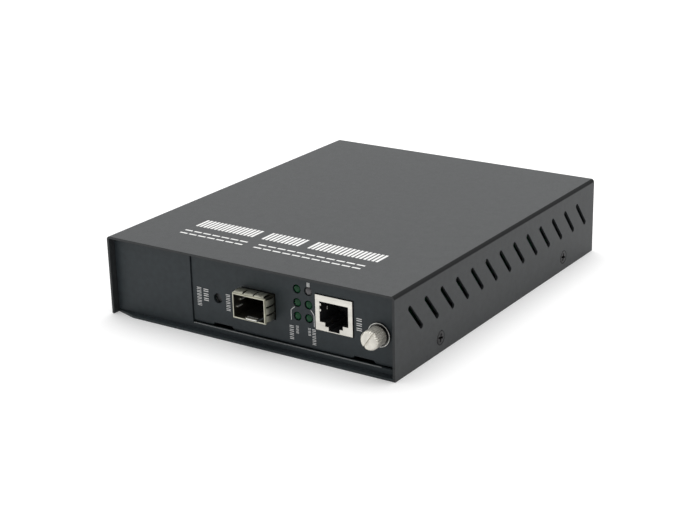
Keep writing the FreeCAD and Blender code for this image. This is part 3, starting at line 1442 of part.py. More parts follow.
def make_lamps():
    wall = size.holder_wall
    body = new_body("led_holder")
    across = (lamp_columns[0] - wall, lamp_columns[1] + wall)
    deep = upward(holder_face, size.holder_depth)
    pad(body, "XZ", *deep, oblong(across, (module_top, lamp_rows[2] + wall)))
    lamp = can("lamp", size.lamp_diameter, holder_face - lamp_face)
    spots = [(x, holder_face, z) for x in lamp_columns for z in lamp_rows]
    copies("green_leds", lamp, spots[:-1], "-y")
    copies("power_led", lamp, spots[-1:], "-y")


def make_reset_switch():
    body = new_body("reset_switch")
    deep = upward(switch_face, size.switch_depth)
    pad(body, "XZ", *deep, oblong(about(reset_x, size.switch_width), upward(module_top, size.switch_height)))
    bore_end = cap_back + size.reset_travel * 2 + size.reset_stop_gap * 2 + size.reset_stem_in
    pocket(body, "XZ", switch_face, bore_end,
           Ring(reset_x, size.reset_level, size.reset_stem + size.reset_gap * 2))


def flat_chip(name, x, y, width, leads):
    """A flat square chip with a row of leads on two sides."""
    low = module_top + size.chip_lift
    parts = [block(about(x, width), about(y, width), upward(low, size.chip_height))]
    reach = about(0, width + size.lead_reach * 2)
    up = upward(module_top, size.lead_sheet + size.chip_lift)
    step = width / (leads + 1)
    for number in range(int(leads.number)):
        pair = about(y + step * (number - (leads - 1) / 2), step / 2)
        parts.append(block((x + reach[0], x + reach[1]), pair, up))
    node(name, fused(*parts))


def on_board(x, y, across, deep, height):
    """A box standing on the module board."""
    return block(about(x, across), about(y, deep), upward(module_top, height))


def make_module_parts():
    flat_chip("converter_chip", converter_x, module_centre + size.converter_y,
              size.converter_width, size.converter_leads)
    flat_chip("management_chip", management_x, module_centre + size.management_y,
              size.management_width, size.management_leads)
    y = module_centre + size.memory_y
    group("memory_chips", [
        on_board(memory_x + size.memory_pitch * number, y, size.memory_width, size.memory_length,
                 size.chip_height) for number in range(int(size.memory_count.number))])
    x = converter_x - size.crystal_x
    y = module_centre + size.crystal_y
    group("crystals", [
        on_board(x, y + size.crystal_pitch * number, size.crystal_length, size.crystal_width,
                 size.crystal_height) for number in range(int(size.crystal_count.number))])
    node("line_transformer", on_board(
        jack_middle + size.magnetics_offset, panel_back + size.magnetics_y,
        size.magnetics_width, size.magnetics_length, size.magnetics_height))
    node("power_inductor", on_board(
        seam + size.inductor_x, module_rear - size.inductor_inset,
        size.inductor_width, size.inductor_width, size.inductor_height))
    make_module_capacitors()


def make_module_capacitors():
    master = can("module_can", size.module_cap_diameter, size.module_cap_height)
    x = seam + size.module_cap_x
    y = module_rear - size.module_cap_inset
    copies("module_capacitors", master,
           [(x + size.module_cap_pitch * number, y, module_top)
            for number in range(int(size.module_cap_count.number))])


# ---------------------------------------------------------------- moving pieces
def make_reset_button():
    cap = size.reset_cap / 2
    stem = size.reset_stem / 2
    stem_length = size.reset_travel + size.reset_stop_gap + size.reset_stem_in
    body = turned("reset_button", [
        (0, 0), (cap, 0), (cap, size.reset_cap_length), (stem, size.reset_cap_length),
        (stem, size.reset_cap_length + stem_length), (0, size.reset_cap_length + stem_length)])
    place(body, (reset_x, cap_face, size.reset_level), "+y")
    node("reset_button", body)


def make_ferrule():
    bore = (size.screw_thread + size.screw_bore_gap * 2) / 2
    barrel = size.ferrule_barrel / 2
    flange = size.ferrule_flange / 2
    start = -size.ferrule_flange_sheet
    cup = start + size.ferrule_cup
    end = size.panel_sheet + size.ferrule_tail
    body = turned("screw_ferrule", [
        (bore, cup), (flange - size.ferrule_rim, cup), (flange - size.ferrule_rim, start),
        (flange, start), (flange, 0), (barrel, 0), (barrel, end), (bore, end)])
    place(body, (screw_x, panel_front, size.screw_level), "+y")
    node("screw_ferrule", body)


def make_thumbscrew():
    """Knob, shank and threaded tip in one turned piece, measured back from the knob's front face."""
    knob = size.knob_diameter / 2
    shank = size.screw_thread / 2
    neck = size.clip_neck / 2
    chamfer = size.knob_chamfer
    knob_rear = panel_front - size.ferrule_flange_sheet - size.knob_gap
    knob_front = knob_rear - size.knob_length
    neck_start = ear_front - size.clip_room - size.clip_ring_sheet - size.clip_side_gap - knob_front
    neck_end = neck_start + size.clip_ring_sheet + size.clip_side_gap * 2
    tip = ear_front + size.screw_tip_past_ear - knob_front
    body = turned("thumbscrew", [
        (0, 0), (knob - chamfer, 0), (knob, chamfer), (knob, size.knob_length), (shank, size.knob_length),
        (shank, neck_start), (neck, neck_start), (neck, neck_end), (shank, neck_end),
        (shank, tip), (0, tip)])
    edge = knob + size.knurl_width
    notch = pocket(body, "XY", 0, size.knob_length, Corners(
        (knob - size.knurl_depth, 0), (edge, -size.knurl_width), (edge, size.knurl_width)))
    knurl = body.newObject("PartDesign::PolarPattern", "Knurl")
    knurl.Originals = [notch]
    knurl.Axis = (origin_axis(body, "z"), [""])
    knurl.Angle = 360
    knurl.Occurrences = int(size.knurl_count.number)
    bind(knurl, "Occurrences", size.knurl_count)
    body.Tip = knurl
    turn_slot(body)
    place(body, (screw_x, knob_front, size.screw_level), "+y")
    node("thumbscrew", body)


def turn_slot(body):
    """The driver slot across the knob's face, turned from level."""
    slot = body.newObject("PartDesign::SubtractiveBox", "DriverSlot")
    width, span = size.driver_slot_width, size.knob_diameter * 2
    bind(slot, "Length", span)
    bind(slot, "Width", width)
    bind(slot, "Height", size.driver_slot_depth)
    turn = size.driver_slot_turn
    slot.Placement = FreeCAD.Placement(V(), FreeCAD.Rotation(V(0, 0, 1), -turn.number))
    bind(slot, "Placement.Rotation.Angle", turn)
    slot.setExpression("Placement.Rotation.Axis.z", "-1")
    along = f"cos({turn.formula} * 1 deg)"
    up = f"sin({turn.formula} * 1 deg)"
    half_span = (span / 2).formula
    half_width = (width / 2).formula
    slot.setExpression("Placement.Base.x", f"-{half_span} * {along} - {half_width} * {up}")
    slot.setExpression("Placement.Base.y", f"{half_span} * {up} - {half_width} * {along}")
    body.Tip = slot


def make_screw_clip():
    """A snap ring in the screw's neck, open on one side."""
    inner = size.clip_neck + size.clip_ring_gap * 2
    start = ear_front - size.clip_room - size.clip_ring_sheet
    body = new_body("screw_clip")
    pad(body, "XZ", start, start + size.clip_ring_sheet,
        Ring(screw_x, size.screw_level, size.clip_diameter), Ring(screw_x, size.screw_level, inner))
    pocket(body, "XZ", start, start + size.clip_ring_sheet,
           oblong(about(screw_x, size.clip_mouth),
                  (size.screw_level - size.clip_diameter, size.screw_level)))


def check_and_export():
    """Stops on any failed object, then writes each node's solids."""
    doc.recompute()
    failed = [item.Label for item in doc.Objects if "Invalid" in item.State or "Error" in item.State]
    if failed:
        raise RuntimeError(f"failed objects: {failed}")
    for name, item in NODES.items():
        shape = item.Shape
        if shape.isNull() or not shape.isValid() or not shape.Solids:
            raise RuntimeError(f"{name}: no valid solid")
    os.makedirs("parts", exist_ok=True)
    for name, item in NODES.items():
        item.Shape.exportStep(f"parts/{name}.step")


make_cover()
make_base_tray()
make_cover_screws()
make_bay_divider()
make_card_guide("left_card_guide", seam, 1)
make_card_guide("right_card_guide", guide_right_wall, -1)
make_power_board()
make_board_supports()
make_inlet()
make_inlet_pins()
make_fuse()
make_line_capacitor()
make_line_filter()
make_bridge_rectifier()
make_bulk_capacitor()
make_output_capacitors()
make_transformer()
make_heat_sink()
make_output_choke()
make_control_chips()
make_socket()
make_module_panel()
make_module_board()
make_module_posts()
make_cage()
make_fingers()
make_cage_socket()
make_jack()
make_lamps()
make_reset_switch()
make_module_parts()
make_reset_button()
make_ferrule()
make_thumbscrew()
make_screw_clip()
check_and_export()
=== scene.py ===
import bmesh
import bpy
import json
import math
import random
from mathutils import Matrix, Vector


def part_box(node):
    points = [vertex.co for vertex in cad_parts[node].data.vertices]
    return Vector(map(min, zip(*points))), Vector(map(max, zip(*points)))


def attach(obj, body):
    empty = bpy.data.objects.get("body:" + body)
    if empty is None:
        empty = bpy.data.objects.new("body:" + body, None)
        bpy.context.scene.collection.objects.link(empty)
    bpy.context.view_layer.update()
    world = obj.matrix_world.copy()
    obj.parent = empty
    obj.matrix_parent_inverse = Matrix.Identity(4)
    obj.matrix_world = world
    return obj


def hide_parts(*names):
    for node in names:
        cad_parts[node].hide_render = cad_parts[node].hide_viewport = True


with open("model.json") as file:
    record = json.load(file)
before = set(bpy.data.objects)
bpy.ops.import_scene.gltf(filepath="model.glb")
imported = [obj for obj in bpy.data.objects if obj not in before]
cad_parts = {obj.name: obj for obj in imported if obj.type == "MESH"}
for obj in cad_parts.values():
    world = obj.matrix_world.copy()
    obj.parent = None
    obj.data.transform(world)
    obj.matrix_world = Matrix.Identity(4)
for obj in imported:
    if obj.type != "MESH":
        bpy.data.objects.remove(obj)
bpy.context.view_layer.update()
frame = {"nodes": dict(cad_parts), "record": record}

# Lengths of the object are in millimetres; the camera, the floor and the lamps are in metres.
MM = 0.001


# ---------------------------------------------------------------- shader nodes
def add_node(tree, kind, values=(), **settings):
    """A shader node with its settings, and its (socket, value) pairs."""
    node = tree.nodes.new("ShaderNode" + kind)
    for name, value in settings.items():
        setattr(node, name, value)
    for socket, value in values:
        node.inputs[socket].default_value = value
    return node


def add_math(tree, operation, sources, clamp=False):
    """The result of a sum, a product or the like of the given sockets."""
    node = add_node(tree, "Math", operation=operation, use_clamp=clamp)
    for socket, source in zip(node.inputs, sources):
        tree.links.new(source, socket)
    return node.outputs[0]


def add_range(tree, value, source, target):
    """Maps a value from one span to another and holds it there."""
    node = add_node(tree, "MapRange", [("From Min", source[0]), ("From Max", source[1]),
                                       ("To Min", target[0]), ("To Max", target[1])])
    tree.links.new(value, node.inputs["Value"])
    return node.outputs["Result"]


def seen_ray(tree):
    """One where a camera, glossy or transmission ray looks, zero for the rest."""
    path = add_node(tree, "LightPath")
    total = path.outputs["Is Camera Ray"]
    for ray in ("Is Glossy Ray", "Is Transmission Ray"):
        total = add_math(tree, "ADD", (total, path.outputs[ray]), clamp=True)
    return total


# ---------------------------------------------------------------- camera, stage and light
CAMERA_AT = Vector((0.33088, -0.50347, 0.22508))
CAMERA_TURN = 33.809
CAMERA_TILT = 19.812
CAMERA_ROLL = -1.308
CAMERA_LENS = 79.59
SENSOR_WIDTH = 36.0

WHITE = (1, 1, 1, 1)
WORLD_LIGHT = 0.55
FLOOR_SIZE = 12.0
FLOOR_GREY = 0.8
FLOOR_GLOW = (0.25, 0.6)
GLOW_SPAN = (0.6, 2.4)
LAMPS = [("softbox_top", (-0.2, 0.25, 1.1), 1.2, 12), ("softbox_side", (1.0, 0.8, 0.5), 0.7, 2.5)]


def make_camera():
    """The camera, from its place, its turn about the upright, its downward tilt and its roll."""
    data = bpy.data.cameras.new("camera")
    data.lens = CAMERA_LENS
    data.sensor_width = SENSOR_WIDTH
    data.clip_start = 0.01
    data.clip_end = 20.0
    camera = bpy.data.objects.new("camera", data)
    bpy.context.scene.collection.objects.link(camera)
    turn, tilt, roll = (math.radians(angle) for angle in (CAMERA_TURN, CAMERA_TILT, CAMERA_ROLL))
    back = Vector((math.sin(turn) * math.cos(tilt), -math.cos(turn) * math.cos(tilt), math.sin(tilt)))
    level = (-back).cross(Vector((0, 0, 1))).normalized()
    upright = level.cross(-back)
    right = level * math.cos(roll) + upright * math.sin(roll)
    up = upright * math.cos(roll) - level * math.sin(roll)
    facing = Matrix((right, up, back)).transposed().to_4x4()
    camera.matrix_world = Matrix.Translation(CAMERA_AT) @ facing
    bpy.context.scene.camera = camera


def make_world():
    """White where it is seen or mirrored, and dimmer where it only gives light."""
    world = bpy.data.worlds.new("studio")
    bpy.context.scene.world = world
    world.use_nodes = True
    tree = world.node_tree
    tree.nodes.clear()
    out = add_node(tree, "OutputWorld")
    mix = add_node(tree, "MixShader")
    lit = add_node(tree, "Background", [("Color", WHITE), ("Strength", WORLD_LIGHT)])
    seen = add_node(tree, "Background", [("Color", WHITE), ("Strength", 1.0)])
    tree.links.new(seen_ray(tree), mix.inputs[0])
    tree.links.new(lit.outputs[0], mix.inputs[1])
    tree.links.new(seen.outputs[0], mix.inputs[2])
    tree.links.new(mix.outputs[0], out.inputs[0])


def floor_material():
    """Pale paper that what looks straight at it sees lighter, and white far from the lamps."""
    material = bpy.data.materials.new("floor")
    material.use_nodes = True
    tree = material.node_tree
    tree.nodes.clear()
    out = add_node(tree, "OutputMaterial")
    paper = add_node(tree, "BsdfDiffuse", [("Color", (FLOOR_GREY, FLOOR_GREY, FLOOR_GREY, 1))])
    glow = add_node(tree, "Emission", [("Color", WHITE)])
    both = add_node(tree, "AddShader")
    place = add_node(tree, "TexCoord")
    away = add_node(tree, "VectorMath", operation="LENGTH")
    tree.links.new(place.outputs["Object"], away.inputs[0])
    strength = add_range(tree, away.outputs["Value"], GLOW_SPAN, FLOOR_GLOW)
    tree.links.new(add_math(tree, "MULTIPLY", (seen_ray(tree), strength)), glow.inputs["Strength"])
    tree.links.new(paper.outputs[0], both.inputs[0])
    tree.links.new(glow.outputs[0], both.inputs[1])
    tree.links.new(both.outputs[0], out.inputs[0])
    return material


def make_floor():
    """A wide flat floor that isn't part of the object."""
    half = FLOOR_SIZE / 2
    corners = [(-half, -half, 0), (half, -half, 0), (half, half, 0), (-half, half, 0)]
    mesh = bpy.data.meshes.new("floor")
    mesh.from_pydata(corners, [], [(0, 1, 2, 3)])
    mesh.materials.append(floor_material())
    floor = bpy.data.objects.new("floor", mesh)
    bpy.context.scene.collection.objects.link(floor)


def make_lamp(name, place, size, watts):
    """A square softbox that faces the object."""
    data = bpy.data.lights.new(name, "AREA")
    data.size = size
    data.energy = watts
    lamp = bpy.data.objects.new(name, data)
    bpy.context.scene.collection.objects.link(lamp)
    lamp.location = place
    lamp.rotation_mode = "QUATERNION"
    lamp.rotation_quaternion = (-Vector(place)).to_track_quat("-Z", "Y")


def make_studio():
    """The camera, the backdrop, the floor and the lamps."""
    make_camera()
    make_world()
    make_floor()
    for name, place, size, watts in LAMPS:
        make_lamp(name, place, size, watts)
    bpy.context.scene.view_settings.view_transform = "Standard"


# ---------------------------------------------------------------- materials
ROUGHNESS_SPAN = 0.06
COAT_ROUGHNESS = 0.1
CLOUD_SCALE = 0.12
CLOUD_SPAN = (0.3, 0.7)
GRAIN_SPAN = (0.25, 0.75)
# Painted shade on the cover's folds: a darker colour and a duller paint where the sheet bends.
FOLD_SHADE_SPAN = (0.05, 0.3)
FOLD_SHADE_COLOUR = (0.006, 0.0065, 0.007, 1)
FOLD_ROUGHNESS = 0.95


def add_noise(tree, scale, detail, stretch):
    """Noise in the object's own coordinates; scale is grains to a millimetre."""
    place = add_node(tree, "TexCoord")
    mapping = add_node(tree, "Mapping", [("Scale", [part * scale / MM for part in stretch])])
    grain = add_node(tree, "TexNoise", [("Scale", 1.0), ("Detail", detail)])
    tree.links.new(place.outputs["Object"], mapping.inputs["Vector"])
    tree.links.new(mapping.outputs["Vector"], grain.inputs["Vector"])
    return grain.outputs["Fac"]


def surface(name, color, roughness, metallic=0.0, grain=3.0, bump=0.1, height=0.02, vary=0.12,
            stretch=(1, 1, 1), specular=0.5, coat=0.0):
    """A finish whose colour and roughness wander a little, with a fine grain in relief."""
    material = bpy.data.materials.new(name)
    material.use_nodes = True
    tree = material.node_tree
    tree.nodes.clear()
    out = add_node(tree, "OutputMaterial")
    shader = add_node(tree, "BsdfPrincipled", [
        ("Metallic", metallic), ("Specular IOR Level", specular),
        ("Coat Weight", coat), ("Coat Roughness", COAT_ROUGHNESS)])
    cloud = add_noise(tree, grain * CLOUD_SCALE, 3.0, stretch)
    fine = add_noise(tree, grain, 2.0, stretch)
    tint = add_node(tree, "MixRGB", [
        ("Color1", [part * (1 - vary) for part in color] + [1]),
        ("Color2", [min(1.0, part * (1 + vary)) for part in color] + [1])])
    relief = add_node(tree, "Bump", [("Strength", bump), ("Distance", height * MM)])
    rough_ends = (roughness - ROUGHNESS_SPAN, roughness + ROUGHNESS_SPAN)
    tree.links.new(add_range(tree, cloud, CLOUD_SPAN, (0, 1)), tint.inputs["Fac"])
    tree.links.new(add_range(tree, fine, GRAIN_SPAN, rough_ends), shader.inputs["Roughness"])
    tree.links.new(fine, relief.inputs["Height"])
    tree.links.new(tint.outputs[0], shader.inputs["Base Color"])
    tree.links.new(relief.outputs[0], shader.inputs["Normal"])
    tree.links.new(shader.outputs[0], out.inputs[0])
    return material


def paint_shade_on_folds(material):
    """Painted shade on a folded edge: its paint is made darker and duller than that of the flat sheet."""
    tree = material.node_tree
    shader = next(node for node in tree.nodes if node.type == "BSDF_PRINCIPLED")
    place = add_node(tree, "TexCoord")
    apart = add_node(tree, "SeparateXYZ")
    tree.links.new(place.outputs["Normal"], apart.inputs[0])
    slant = add_math(tree, "MULTIPLY", (apart.outputs["X"], apart.outputs["Z"]))
    fold_shade = add_range(tree, add_math(tree, "ABSOLUTE", (slant,)), FOLD_SHADE_SPAN, (0, 1))
    dull = (FOLD_ROUGHNESS, FOLD_ROUGHNESS, FOLD_ROUGHNESS, 1)
    for socket, end in (("Base Color", FOLD_SHADE_COLOUR), ("Roughness", dull)):
        flat = shader.inputs[socket].links[0].from_socket
        mix = add_node(tree, "MixRGB", [("Color2", end)])
        tree.links.new(fold_shade, mix.inputs["Fac"])
        tree.links.new(flat, mix.inputs["Color1"])
        tree.links.new(mix.outputs[0], shader.inputs[socket])
    return material


PAINT = {"grain": 3.5, "bump": 0.35, "height": 0.05, "specular": 0.3}
FINISHES = {
    # The cover's paint, with painted shade on its folds.
    "cover_paint": paint_shade_on_folds(surface("cover_paint", (0.028, 0.0305, 0.032), 0.5, **PAINT)),
    "grey_paint": surface("grey_paint", (0.023, 0.030, 0.034), 0.5, **PAINT),
    "zinc_steel": surface("zinc_steel", (0.62, 0.62, 0.6), 0.38, metallic=1.0, stretch=(1, 0.05, 1)),
    "black_steel": surface("black_steel", (0.011, 0.011, 0.012), 0.38, grain=4.0, specular=0.25),
    "cage_steel": surface("cage_steel", (0.5, 0.495, 0.41), 0.38, metallic=1.0, stretch=(1, 0.08, 1)),
    "shield_steel": surface("shield_steel", (0.65, 0.63, 0.58), 0.34, metallic=1.0, stretch=(0.2, 1, 1)),
    "nickel_knob": surface("nickel_knob", (0.64, 0.62, 0.56), 0.34, metallic=0.9, stretch=(1, 0.1, 1)),
    "board_laminate": surface("board_laminate", (0.012, 0.11, 0.045), 0.35, grain=2.0, coat=0.3),
    "black_plastic": surface("black_plastic", (0.014, 0.014, 0.015), 0.42, grain=4.0, bump=0.25),
    "grey_button": surface("grey_button", (0.03, 0.032, 0.035), 0.45, grain=4.0, bump=0.25),
    "white_plastic": surface("white_plastic", (0.7, 0.69, 0.64), 0.4),
    "green_lens": surface("green_lens", (0.001, 0.052, 0.016), 0.08, grain=1.0, bump=0.03, specular=0.22),
    "clear_lens": surface("clear_lens", (0.12, 0.115, 0.12), 0.16, grain=1.0, bump=0.03, specular=0.3),
    "gold_contact": surface("gold_contact", (0.85, 0.6, 0.22), 0.25, metallic=1.0),
    "tin_contact": surface("tin_contact", (0.66, 0.65, 0.6), 0.35, metallic=1.0),
    "copper_wire": surface("copper_wire", (0.55, 0.2, 0.07), 0.3, metallic=1.0, stretch=(1, 1, 6)),
    "ferrite": surface("ferrite", (0.05, 0.05, 0.052), 0.6, grain=5.0, bump=0.4),
    "can_sleeve": surface("can_sleeve", (0.012, 0.02, 0.06), 0.3, grain=1.5, coat=0.2),
    "film_case": surface("film_case", (0.5, 0.36, 0.05), 0.35, grain=2.0),
    "fuse_tube": surface("fuse_tube", (0.72, 0.71, 0.67), 0.3, grain=2.0),
    "sink_aluminium": surface("sink_aluminium", (0.6, 0.6, 0.6), 0.4, metallic=1.0, stretch=(1, 1, 0.05)),
}
WHITE_PRINT = surface("white_print", (0.78, 0.78, 0.77), 0.5, grain=6.0, bump=0.15, vary=0.05)
# Bare metal of a cut edge, lighter than the paint: partly real, partly a painted highlight along the lip.
BARE_EDGE_HIGHLIGHT = surface("bare_edge_and_highlight", (0.3, 0.31, 0.31), 0.5, metallic=0.3, grain=4.0, stretch=(0.1, 1, 1))
# A lighter copy of steel for the latch tip, the catches in the cage's mouth and the ferrule's rim: painted
# highlight.
HIGHLIGHT_STEEL = surface("steel_painted_highlight", (0.9, 0.9, 0.86), 0.3, metallic=0.7)
# A darker copy of the cage steel for the whole cage: painted shade.
SHADED_CAGE_STEEL = surface("cage_painted_shade", (0.15, 0.147, 0.115), 0.42, metallic=1.0, stretch=(1, 0.08, 1))
SHADOW_GAP = surface("shadow_gap", (0.002, 0.002, 0.002), 0.9, grain=4.0, specular=0.0)
# A darker copy of the knob's nickel for the ferrule: painted shade on its recessed face.
SHADED_FERRULE = surface("ferrule_painted_shade", (0.09, 0.09, 0.085), 0.32, metallic=1.0)
KNURL_STEEL = surface("knurl_steel", (0.66, 0.64, 0.58), 0.4, metallic=0.3)
CERAMIC = surface("ceramic_body", (0.2, 0.15, 0.1), 0.45, grain=5.0)

# The radius of each moulded, folded or cut edge.
SOFT_EDGES = {
    "base_tray": 0.12, "module_panel": 0.1, "bay_divider": 0.1, "inlet_housing": 0.3, "jack_shield": 0.08,
    "led_holder": 0.1, "screw_ferrule": 0.06, "reset_button": 0.2, "reset_switch": 0.1,
    "transformer_core": 0.15, "transformer_bobbin": 0.12, "filter_core": 0.15, "line_capacitor": 0.4,
    "socket_housing": 0.2, "heat_sink": 0.08, "line_transformer": 0.25, "power_inductor": 0.8,
    "converter_chip": 0.08, "management_chip": 0.08, "control_chips": 0.15, "memory_chips": 0.1,
    "bridge_rectifier": 0.25, "crystals": 0.5, "left_card_guide": 0.15, "right_card_guide": 0.15,
    "bulk_capacitor": 0.6, "output_capacitors": 0.4, "module_capacitors": 0.35, "fuse": 0.2,
    "board_supports": 0.1, "inlet_pins": 0.25, "sfp_socket": 0.1, "output_choke": 0.5,
}
COVER_EDGE = 0.12
RIM_EDGE = 0.05
TAB_EDGE = 0.06
EDGE_STEPS = 2
EDGE_ANGLE = 40


def soften(piece, width):
    """Rounds a piece's sharp edges by a width."""
    bevel = piece.modifiers.new("soft_edge", "BEVEL")
    bevel.width = width * MM
    bevel.segments = EDGE_STEPS
    bevel.limit_method = "ANGLE"
    bevel.angle_limit = math.radians(EDGE_ANGLE)
    bevel.use_clamp_overlap = True
    even = piece.modifiers.new("even_faces", "WEIGHTED_NORMAL")
    even.keep_sharp = True
    even.weight = 100


def dress_frame():
    """Gives every CAD node a finish, that of its slot in the record save for the ferrule and the cage, and
    softens the edges of the nodes listed in SOFT_EDGES.
    """
    # The cage and the ferrule take darker copies of their metals: painted shade.
    special = {"screw_ferrule": SHADED_FERRULE, "sfp_cage": SHADED_CAGE_STEEL}
    for part in frame["record"]["subparts"]:
        name, slot = part["node"], part["material_slot"]
        node = frame["nodes"][name]
        node.data.materials.clear()
        node.data.materials.append(special.get(name, FINISHES[slot]))
        if name in SOFT_EDGES:
            soften(node, SOFT_EDGES[name])


# ---------------------------------------------------------------- mesh helpers
def box_mm(node):
    """A CAD node's lowest and highest corner at rest."""
    low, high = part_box(node)
    return low / MM, high / MM


def middle_mm(node):
    """The middle of a CAD node's box."""
    low, high = box_mm(node)
    return (low + high) / 2


def finish_piece(name, bm, body, slot, material=None, replaced=(), smooth=None):
    """Makes an object of a bmesh and hangs it on its body; smooth is the sharpest angle shaded round."""
    bmesh.ops.recalc_face_normals(bm, faces=bm.faces)
    mesh = bpy.data.meshes.new(name)
    bm.to_mesh(mesh)
    bm.free()
    mesh.materials.append(material or FINISHES[slot])
    piece = bpy.data.objects.new(name, mesh)
    bpy.context.scene.collection.objects.link(piece)
    if smooth:
        shade_round(piece, smooth)
    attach(piece, body)
    if replaced:
        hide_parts(*replaced)
    return piece


def shade_round(piece, angle):
    """Shades a piece round wherever its faces meet at less than an angle."""
    piece.data.shade_smooth()
    piece.data.set_sharp_from_angle(angle=math.radians(angle))


def cut_out(piece, cutter):
    """Cuts a bmesh solid out of a piece's own mesh."""
    mesh = bpy.data.meshes.new("cutter")
    bmesh.ops.recalc_face_normals(cutter, faces=cutter.faces)
    cutter.to_mesh(mesh)
    cutter.free()
    tool = bpy.data.objects.new("cutter", mesh)
    bpy.context.scene.collection.objects.link(tool)
    cut = piece.modifiers.new("cut", "BOOLEAN")
    cut.object = tool
    cut.operation = "DIFFERENCE"
    cut.solver = "EXACT"
    graph = bpy.context.evaluated_depsgraph_get()
    result = bpy.data.meshes.new_from_object(piece.evaluated_get(graph))
    piece.modifiers.clear()
    piece.data = result
    bpy.data.objects.remove(tool)


def add_block(bm, low, high):
    """A box between two corners."""
    size = [b - a for a, b in zip(low, high)]
    middle = [(a + b) / 2 for a, b in zip(low, high)]
    matrix = Matrix.Translation(Vector(middle) * MM) @ Matrix.Diagonal([s * MM for s in size] + [1])
    bmesh.ops.create_cube(bm, size=1.0, matrix=matrix)


def join_rings(bm, rings, closed=False):
    """Faces between each ring of points and the next; the ends are capped, or joined if closed."""
    rings = [[bm.verts.new(Vector(point) * MM) for point in ring] for ring in rings]
    pairs = list(zip(rings, rings[1:]))
    if closed:
        pairs.append((rings[-1], rings[0]))
    else:
        bm.faces.new(rings[0])
        bm.faces.new(rings[-1])
    for near, far in pairs:
        for i in range(len(near)):
            j = (i + 1) % len(near)
            bm.faces.new((near[i], near[j], far[j], far[i]))


def add_stroke(bm, start, end, width, depth):
    """A raised line on the front from (x, z) to (x, z), between two depths."""
    a, b = Vector(start), Vector(end)
    along = (b - a).normalized() * width / 2
    side = Vector((-along.y, along.x))
    corners = [a - along + side, b + along + side, b + along - side, a - along - side]
    join_rings(bm, [[(corner.x, y, corner.y) for corner in corners] for y in depth])


def add_lathe(bm, profile, place, count, radius_at=None):
    """A turned solid about its own Y axis, from (radius, y) points that start and end on the axis."""
    def spot(radius, y, turn):
        reach = radius_at(radius, y, turn) if radius_at else radius
        return place @ Vector((reach * math.cos(turn), y, reach * math.sin(turn))) * MM

    first = bm.verts.new(place @ Vector((0, profile[0][1], 0)) * MM)
    last = bm.verts.new(place @ Vector((0, profile[-1][1], 0)) * MM)
    rings = []
    for radius, y in profile[1:-1]:
        rings.append([bm.verts.new(spot(radius, y, 2 * math.pi * i / count)) for i in range(count)])
    for i in range(count):
        j = (i + 1) % count
        bm.faces.new((first, rings[0][i], rings[0][j]))
        bm.faces.new((last, rings[-1][j], rings[-1][i]))
        for near, far in zip(rings, rings[1:]):
            bm.faces.new((near[i], far[i], far[j], near[j]))


# ---------------------------------------------------------------- cover and its print
PRINT_RISE = 0.02
PRINT_ROOT = 0.01
# Two rows of paired bars. Start and front are measured from the cover's left and front edges; shift is from
# the first bar of a pair to the second.
TALL_ROW = {"groups": (8, 5, 9), "start": 22.6, "span": 86.0, "front": 27.2,
            "size": (1.1, 8.0), "shift": (1.75, 0)}
LOW_ROW = {"groups": (7, 11), "start": 22.2, "span": 84.9, "front": 17.7,
           "size": (3.6, 0.9), "shift": (0, 3.3)}


def make_cover():
    """The folded cover with its top sheet a print's thickness lower, and softened edges."""
    bm = bmesh.new()
    bm.from_mesh(frame["nodes"]["cover"].data)
    bmesh.ops.remove_doubles(bm, verts=bm.verts, dist=MM / 1000)
    top = box_mm("cover")[1].z
    for vertex in bm.verts:
        vertex.co.z = min(vertex.co.z, (top - PRINT_RISE) * MM)
    bmesh.ops.dissolve_limit(bm, angle_limit=math.radians(0.5), verts=bm.verts, edges=bm.edges)
    cover = finish_piece("cover_shell", bm, "chassis", "cover_paint", replaced=["cover"], smooth=35)
    soften(cover, COVER_EDGE)


def add_print_row(bm, row):
    """Groups of paired bars on the cover's top, with a bar's room between the groups."""
    low, high = box_mm("cover")
    bottom = high.z - PRINT_RISE - PRINT_ROOT
    width, depth = row["size"]
    pitch = row["span"] / (sum(row["groups"]) + len(row["groups"]) - 1)
    start = low.x + row["start"]
    for group in row["groups"]:
        for _ in range(group):
            for number in range(2):
                x = start + number * row["shift"][0]
                y = low.y + row["front"] + number * row["shift"][1]
                add_block(bm, (x, y, bottom), (x + width, y + depth, high.z))
            start += pitch
        start += pitch


def make_top_print():
    """Two printed rows of plain bars on the cover: tall bold pairs, then low wide pairs in front."""
    bm = bmesh.new()
    add_print_row(bm, TALL_ROW)
    add_print_row(bm, LOW_ROW)
    finish_piece("top_print", bm, "chassis", "white_plastic", WHITE_PRINT)


# ---------------------------------------------------------------- front
FACE_PRINT = (-0.03, 0.01)
# Each stack of bars stands beside a place: its span to the right of it, its span above it, its pairs.
STACKS = [
    ("panel_edge", (2.0, 4.1), (-4.6, 3.3), 6),
    ("reset", (-6.8, -4.5), (-2.2, 3.3), 3),
    ("cage", (-8.05, -6.15), (-1.2, 5.9), 5),
    ("left_lamps", (-3.7, -1.9), (-15.0, -9.0), 4),
    ("left_lamps", (-0.8, 0.4), (-12.2, -8.8), 3),
    ("right_lamps", (-0.45, 0.75), (-12.0, -8.7), 3),
    ("right_lamps", (1.35, 2.95), (-15.3, -8.7), 5),
    ("jack", (1.4, 3.7), (2.8, 8.3), 3),
]
BAR_SHARE = 0.17
BAR_STARTS = (0.08, 0.5)
UPRIGHTS = (-0.45, 0.3)
UPRIGHT_WIDTH = 0.4
UPRIGHT_SPAN = (1.7, 3.4)
LEADERS = [("left_lamps", [(-1.2, -1.9), (-2.8, -3.3), (-2.8, -7.1)]),
           ("right_lamps", [(1.05, -1.9), (2.35, -3.5), (2.35, -8.0)])]
LEADER_WIDTH = 0.22


